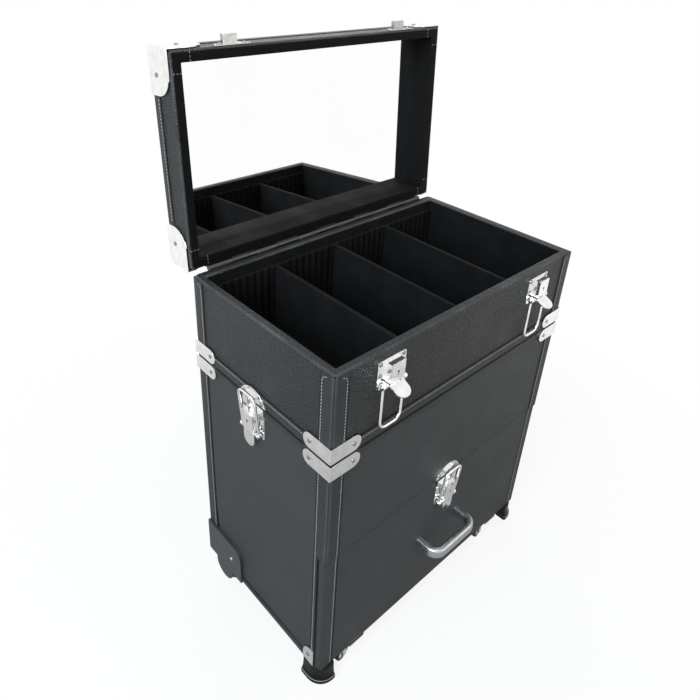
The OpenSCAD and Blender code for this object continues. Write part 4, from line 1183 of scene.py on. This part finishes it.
class Lid(Assembly):
    """The mirrored lid: drawn closed, then turned open about the hinge as the frame has it."""

    BODY = "lid"
    HEIGHT = 34 * MM
    WALL = 11 * MM
    PANEL = 4 * MM
    GAP = 0.6 * MM
    SIDE_STRIP = 10 * MM
    COVER_INSET = 1.8 * MM
    SKIN = 0.2 * MM
    CAP = 44 * MM
    RIM_SEAM = 20 * MM

    def __init__(self, box: CaseBox) -> None:
        """Reads the hinge from the frame."""
        super().__init__(box)
        joint = next(j for j in frame["joints"] if j["name"] == "lid_hinge")
        self.pivot = np.array(joint["pos_m"], float)
        self.turn = np.array(Matrix.Rotation(math.radians(-joint["range_deg"][1]), 3, "X"))
        self.low = box.high[2] + self.GAP
        self.top = self.low + self.HEIGHT

    def placed(self, shape: Surface) -> Surface:
        """Turns a closed-lid shape to the open rest place."""
        return shape.turned(self.turn, self.pivot)

    def build(self) -> None:
        """Builds every piece of the lid."""
        b, low, floor = self.box, self.low, self.top - self.PANEL
        wall = ring_wall(b.low[:2], b.high[:2], self.WALL, -floor, -low, b.round - b.trim, 2.4 * MM)
        inset, thickness = self.COVER_INSET, self.WALL - self.COVER_INSET + self.SKIN
        inside = b.low[:2] + inset, b.high[:2] - inset
        cover = ring_wall(*inside, thickness, -floor, self.SKIN - low, 1.5 * MM, 1.2 * MM)
        self.piece("lid_inside_cover", cover.flipped(2), SHADED_INSIDE)
        self.piece("lid_frame_walls", wall.flipped(2), PEBBLED, "lid_walls")
        self.hinge_shade("lid_hinge_shade", low + self.SUNK, low + self.EDGE_TALL)
        # A dark strip of painted shade over the back of the hinge.
        near = (b.low[0] + 19 * MM, b.high[1] + 0.1 * MM, self.pivot[2] + 4.1 * MM)
        far = (b.high[0] - 19 * MM, b.high[1] + 3.4 * MM, self.pivot[2] + 5.6 * MM)
        self.piece("lid_hinge_shade_strip", board(near, far, 0.3 * MM, "x", 2), GAP_SHADE)
        back = board((*b.low[:2], floor), (*b.high[:2], self.top), 1.2 * MM)
        self.piece("lid_back_board", back, PEBBLED, "lid_panel")
        self.trim()
        self.forms(CHROME, 0.4, "lid_caps")
        self.forms(NICKEL, 0.25, "lid_catches")
        self.forms(RIVET, 0.3, "lid_rivets")
        self.forms(SHADED_HINGE_METAL, 0.2, "hinge_upper_leaf")
        self.forms(MIRROR, 0.3, "mirror")
        self.forms(FLOCK, 0.3, "mirror_backing")

    def trim(self) -> None:
        """Binding over the back edges, painted shade lines along its edge, stitches, and short rows of stitches across
        the rim.
        """
        b, top, t, sew = self.box, self.top, self.box.trim, Sewing()
        edge, foot = 1.6 * MM, self.top - self.SIDE_STRIP
        loop = rounded_loop(b.low[:2], b.high[:2], edge)
        outer = rounded_loop(b.low[:2] - t, b.high[:2] + t, 2.4 * MM)
        inner = rounded_loop(b.low[:2] + b.strip, b.high[:2] - b.strip, edge)
        turn = np.linspace(0.0, QUARTER, 6)
        drawn = edge * (1 - np.cos(turn)) / (b.strip + t)
        plan = np.concatenate([
            between(loop, outer, np.array([0.0, 0.5, 1.0])),
            between(outer, inner, np.append(drawn, [0.98, 1.0, 1.0])),
            loop[:, None],
        ], axis=1)
        rise = top + t - edge + edge * np.sin(turn)
        level = np.concatenate([[foot, foot, foot + 0.5 * MM], rise, [top + t, top + t * 0.5, top, top]])
        self.piece("lid_binding", shell(raised(plan, level), True), BINDING, "lid_trim")
        rim_out, rim_in = 1.2 * MM, self.WALL - 1.0 * MM
        for s in (-1, 1):
            for axis, normal in ((1, (s, 0, 0)), (0, (0, s, 0))):
                place = b.end(1 - axis, s)
                if axis == 1 or s < 0:
                    sew.seam(b.along(axis, place, foot - 0.6 * MM, self.CAP), normal, 1.4)
                sew.row(b.along(axis, place + s * t, foot + 2 * MM, self.CAP), normal)
                sew.row(b.along(axis, place - s * b.sewn, top + t, self.CAP), UP)
                for f in (-1, 1):
                    across = np.full((2, 3), self.low)
                    across[:, axis] = b.end(axis, f) - f * self.RIM_SEAM
                    across[:, 1 - axis] = place - s * rim_out, place - s * rim_in
                    sew.row(across, (0, 0, -1))
        self.shade_lines("lid", sew)
        self.stitches("lid", sew)


class Drawer(Assembly):
    """The drawer with its covered front, lined box, ridged pull and latch base."""

    BODY = "drawer"
    LIP = 0.35 * MM
    CORNERS = np.array([0.4, 0.4, 4.2, 4.2]) * MM
    PULL_THICK = 8.5 * MM
    PULL_BEND = 11.25 * MM
    SQUARENESS = 3.4
    RIDGES = 6
    RIDGE = 0.22 * MM

    def build(self) -> None:
        """Builds every piece of the drawer."""
        b, sew = self.box, Sewing()
        low, high = box_of("drawer_front")
        front = board(low, high + (0, 0, self.LIP), 0.3 * MM, "z", 5, self.CORNERS)
        front.wear_and_highlight = None
        self.piece("drawer_front_board", front, LEATHER, "drawer_front")
        for s in (-1, 1):
            x = b.end(0, s) - s * b.sewn
            sew.row(upright(x, low[1], low[2] + 2 * MM, high[2] - 2 * MM), (0, -1, 0))
            # A dark line of painted shade beside each stitch row.
            sew.seam(upright(x - s * 2.7 * MM, low[1], low[2] + 1 * MM, high[2] - 1 * MM), (0, -1, 0), 1.3)
        self.stitches("drawer", sew)
        self.shade_lines("drawer", sew)
        self.forms(FLOCK, 0.8, "drawer_box")
        self.forms(CHROME, 0.22, "drawer_latch_base")
        self.pull()

    def pull(self) -> None:
        """The pull: a ridged flat oval carried along a path of two legs, two quarter circles and a bar."""
        low, high = box_of("drawer_pull")
        thick, tall, bend = self.PULL_THICK, high[2] - low[2], self.PULL_BEND
        half, root = (high[0] - low[0] - thick) / 2, high[1]
        reach = root - low[1] - thick / 2
        turn = np.linspace(0.0, QUARTER, 12)
        outwards = np.stack([np.cos(turn), -np.sin(turn)], axis=-1)
        leg = [[half, root], [half, root - (reach - bend) * 0.5]]
        right = np.concatenate([leg, (half - bend, root - reach + bend) + bend * outwards])
        out_right = np.concatenate([[[1.0, 0.0]] * 2, outwards])
        plan, out = (np.concatenate([side, (side * (-1.0, 1.0))[::-1]]) for side in (right, out_right))
        path = np.column_stack([plan, np.full(len(plan), (low[2] + high[2]) / 2)])
        up = np.tile(UP, (len(plan), 1))
        angle = np.linspace(0.0, 2 * np.pi, 96, endpoint=False)
        cos, sin, power = np.cos(angle), np.sin(angle), self.SQUARENESS
        squared = (np.abs(cos) ** power + np.abs(sin) ** power) ** (-1 / power)
        a, c = squared * cos * thick / 2, squared * sin * tall / 2
        wave = 0.5 - 0.5 * np.cos(c / tall * 2 * np.pi * self.RIDGES)
        ridge = self.RIDGE * wave * (np.abs(a) > thick * 0.42)
        profile = np.stack([a - np.sign(a) * ridge, c], axis=-1)
        bar = carried(path, np.column_stack([out, np.zeros(len(out))]), up, profile)
        self.piece("drawer_pull_bar", bar, ALUMINIUM, "drawer_pull", smooth=50)


class Latches:
    """Levers and wire bails of the five draw latches."""

    PLACES = ("front_left", "front_right", "side_left", "side_right", "drawer")

    def build(self) -> None:
        """Builds each lever and bail on its own body."""
        for place in self.PLACES:
            Workshop.softened(place + "_lever", CHROME, place + "_lever", 0.3)
            Workshop.softened(place + "_bail", CHROME, place + "_bail", 0.15)


# Studio


@dataclass(frozen=True)
class View:
    """The photograph's camera: where it stands, how it is turned, its lens and its shift."""

    place: tuple
    right: tuple
    up: tuple
    back: tuple
    lens: float
    shift: tuple

    def build(self) -> None:
        """Makes the camera and gives it to the scene."""
        data = bpy.data.cameras.new("photo_camera")
        data.sensor_fit = "HORIZONTAL"
        data.sensor_width = 36.0
        data.lens = self.lens
        data.shift_x, data.shift_y = self.shift
        data.clip_start, data.clip_end = 0.05, 50.0
        made = bpy.data.objects.new("photo_camera", data)
        columns = [(*self.right, 0), (*self.up, 0), (*self.back, 0), (*self.place, 1)]
        made.matrix_world = Matrix(columns).transposed()
        bpy.context.scene.collection.objects.link(made)
        bpy.context.scene.camera = made


class Studio:
    """Pale floor, white surroundings and soft lamps."""

    AIM = Vector((0.0, 0.0, 0.3))
    FLOOR_RADIUS = 12.0
    LAMPS = (
        ("left_softbox", (-1.7, -0.5, 1.5), 1.5, 49.0, (0.8, 0.92, 1.0)),
        ("front_softbox", (0.9, -2.0, 1.2), 1.6, 6.0, (1.0, 0.97, 0.9)),
        ("top_softbox", (0.2, 0.1, 2.3), 1.4, 8.0, (1.0, 1.0, 1.0)),
        ("rear_softbox", (1.2, 1.8, 1.6), 1.4, 10.0, (1.0, 1.0, 1.0)),
    )

    def build(self) -> None:
        """Builds floor, world and lamps."""
        self.floor()
        self.world()
        for name, place, size, power, tint in self.LAMPS:
            data = bpy.data.lights.new(name, "AREA")
            data.shape, data.size, data.energy, data.color = "DISK", size, power, tint
            made = bpy.data.objects.new(name, data)
            made.location = place
            made.rotation_euler = (self.AIM - Vector(place)).to_track_quat("-Z", "Y").to_euler()
            bpy.context.scene.collection.objects.link(made)

    @staticmethod
    def seen(desk: NodeDesk) -> tuple[Socket, Socket]:
        """Whether the camera, metal or glass looks, and whether it is the camera."""
        path = desk.add("ShaderNodeLightPath").outputs
        mirrored = desk.math("MAXIMUM", path["Is Glossy Ray"], path["Is Transmission Ray"])
        return desk.math("MAXIMUM", path["Is Camera Ray"], mirrored), path["Is Camera Ray"]

    def floor(self) -> None:
        """A wide disc that keeps the object's shadow and fades to plain white away from it; glossy rays see it glow
        dimmer near the object, a painted shade in reflections.
        """
        sides = 96
        angle = np.linspace(0.0, 2 * np.pi, sides, endpoint=False)
        ring = np.stack([np.cos(angle), np.sin(angle), np.zeros(sides)], axis=-1) * self.FLOOR_RADIUS
        mesh = bpy.data.meshes.new("studio_floor")
        mesh.from_pydata(ring.tolist(), [], [list(range(sides))])
        made = bpy.data.objects.new("studio_floor", mesh)
        bpy.context.scene.collection.objects.link(made)
        material = bpy.data.materials.new("studio_white")
        desk = NodeDesk.cleared(material)
        place = desk.add("ShaderNodeTexCoord").outputs["Object"]
        far = desk.vector("LENGTH", {0: place}).outputs["Value"]
        seen, camera = self.seen(desk)
        cover = desk.math("MULTIPLY", desk.remap(far, 0.25, 0.75, 0.86, 1.0), seen)
        # Painted shade seen in reflections: the glow is dimmer near the object for every ray but the camera's.
        level = desk.math("MAXIMUM", desk.remap(far, 0.28, 0.85, 0.42, 1.0), camera)
        matt = desk.add("ShaderNodeBsdfDiffuse", {"Color": (0.86, 0.86, 0.86, 1.0)})
        glow = desk.add("ShaderNodeEmission", {"Color": WHITE, "Strength": level})
        both = desk.add("ShaderNodeMixShader", {0: cover, 1: matt.outputs[0], 2: glow.outputs[0]})
        desk.add("ShaderNodeOutputMaterial", {0: both.outputs[0]})
        mesh.materials.append(material)

    def world(self) -> None:
        """White where the camera, metal or glass sees it, and a plain soft light elsewhere."""
        world = bpy.data.worlds.new("studio_world")
        bpy.context.scene.world = world
        desk = NodeDesk.cleared(world)
        strength = desk.remap(self.seen(desk)[0], 0.0, 1.0, 0.36, 1.0)
        sky = desk.add("ShaderNodeBackground", {"Color": WHITE, "Strength": strength})
        desk.add("ShaderNodeOutputWorld", {0: sky.outputs[0]})


PHOTO_VIEW = View(
    place=(-0.45216, -0.39445, 0.71944),
    right=(0.742146, -0.669148, 0.038198),
    up=(0.284347, 0.36595, 0.886131),
    back=(-0.606931, -0.646777, 0.461859),
    lens=32.282,
    shift=(0.0271, -0.1243),
)


def main() -> None:
    """Builds the case, the studio and the camera."""
    logging.basicConfig(level=logging.INFO, format="%(name)s: %(message)s")
    box = CaseBox()
    for assembly in (LowerCase(box), TrayCase(box), Lid(box), Drawer(box), Latches()):
        LOG.info("building %s", type(assembly).__name__)
        assembly.build()
    Studio().build()
    PHOTO_VIEW.build()
    bpy.context.scene.view_settings.view_transform = "Standard"


if __name__ == "__main__":
    main()
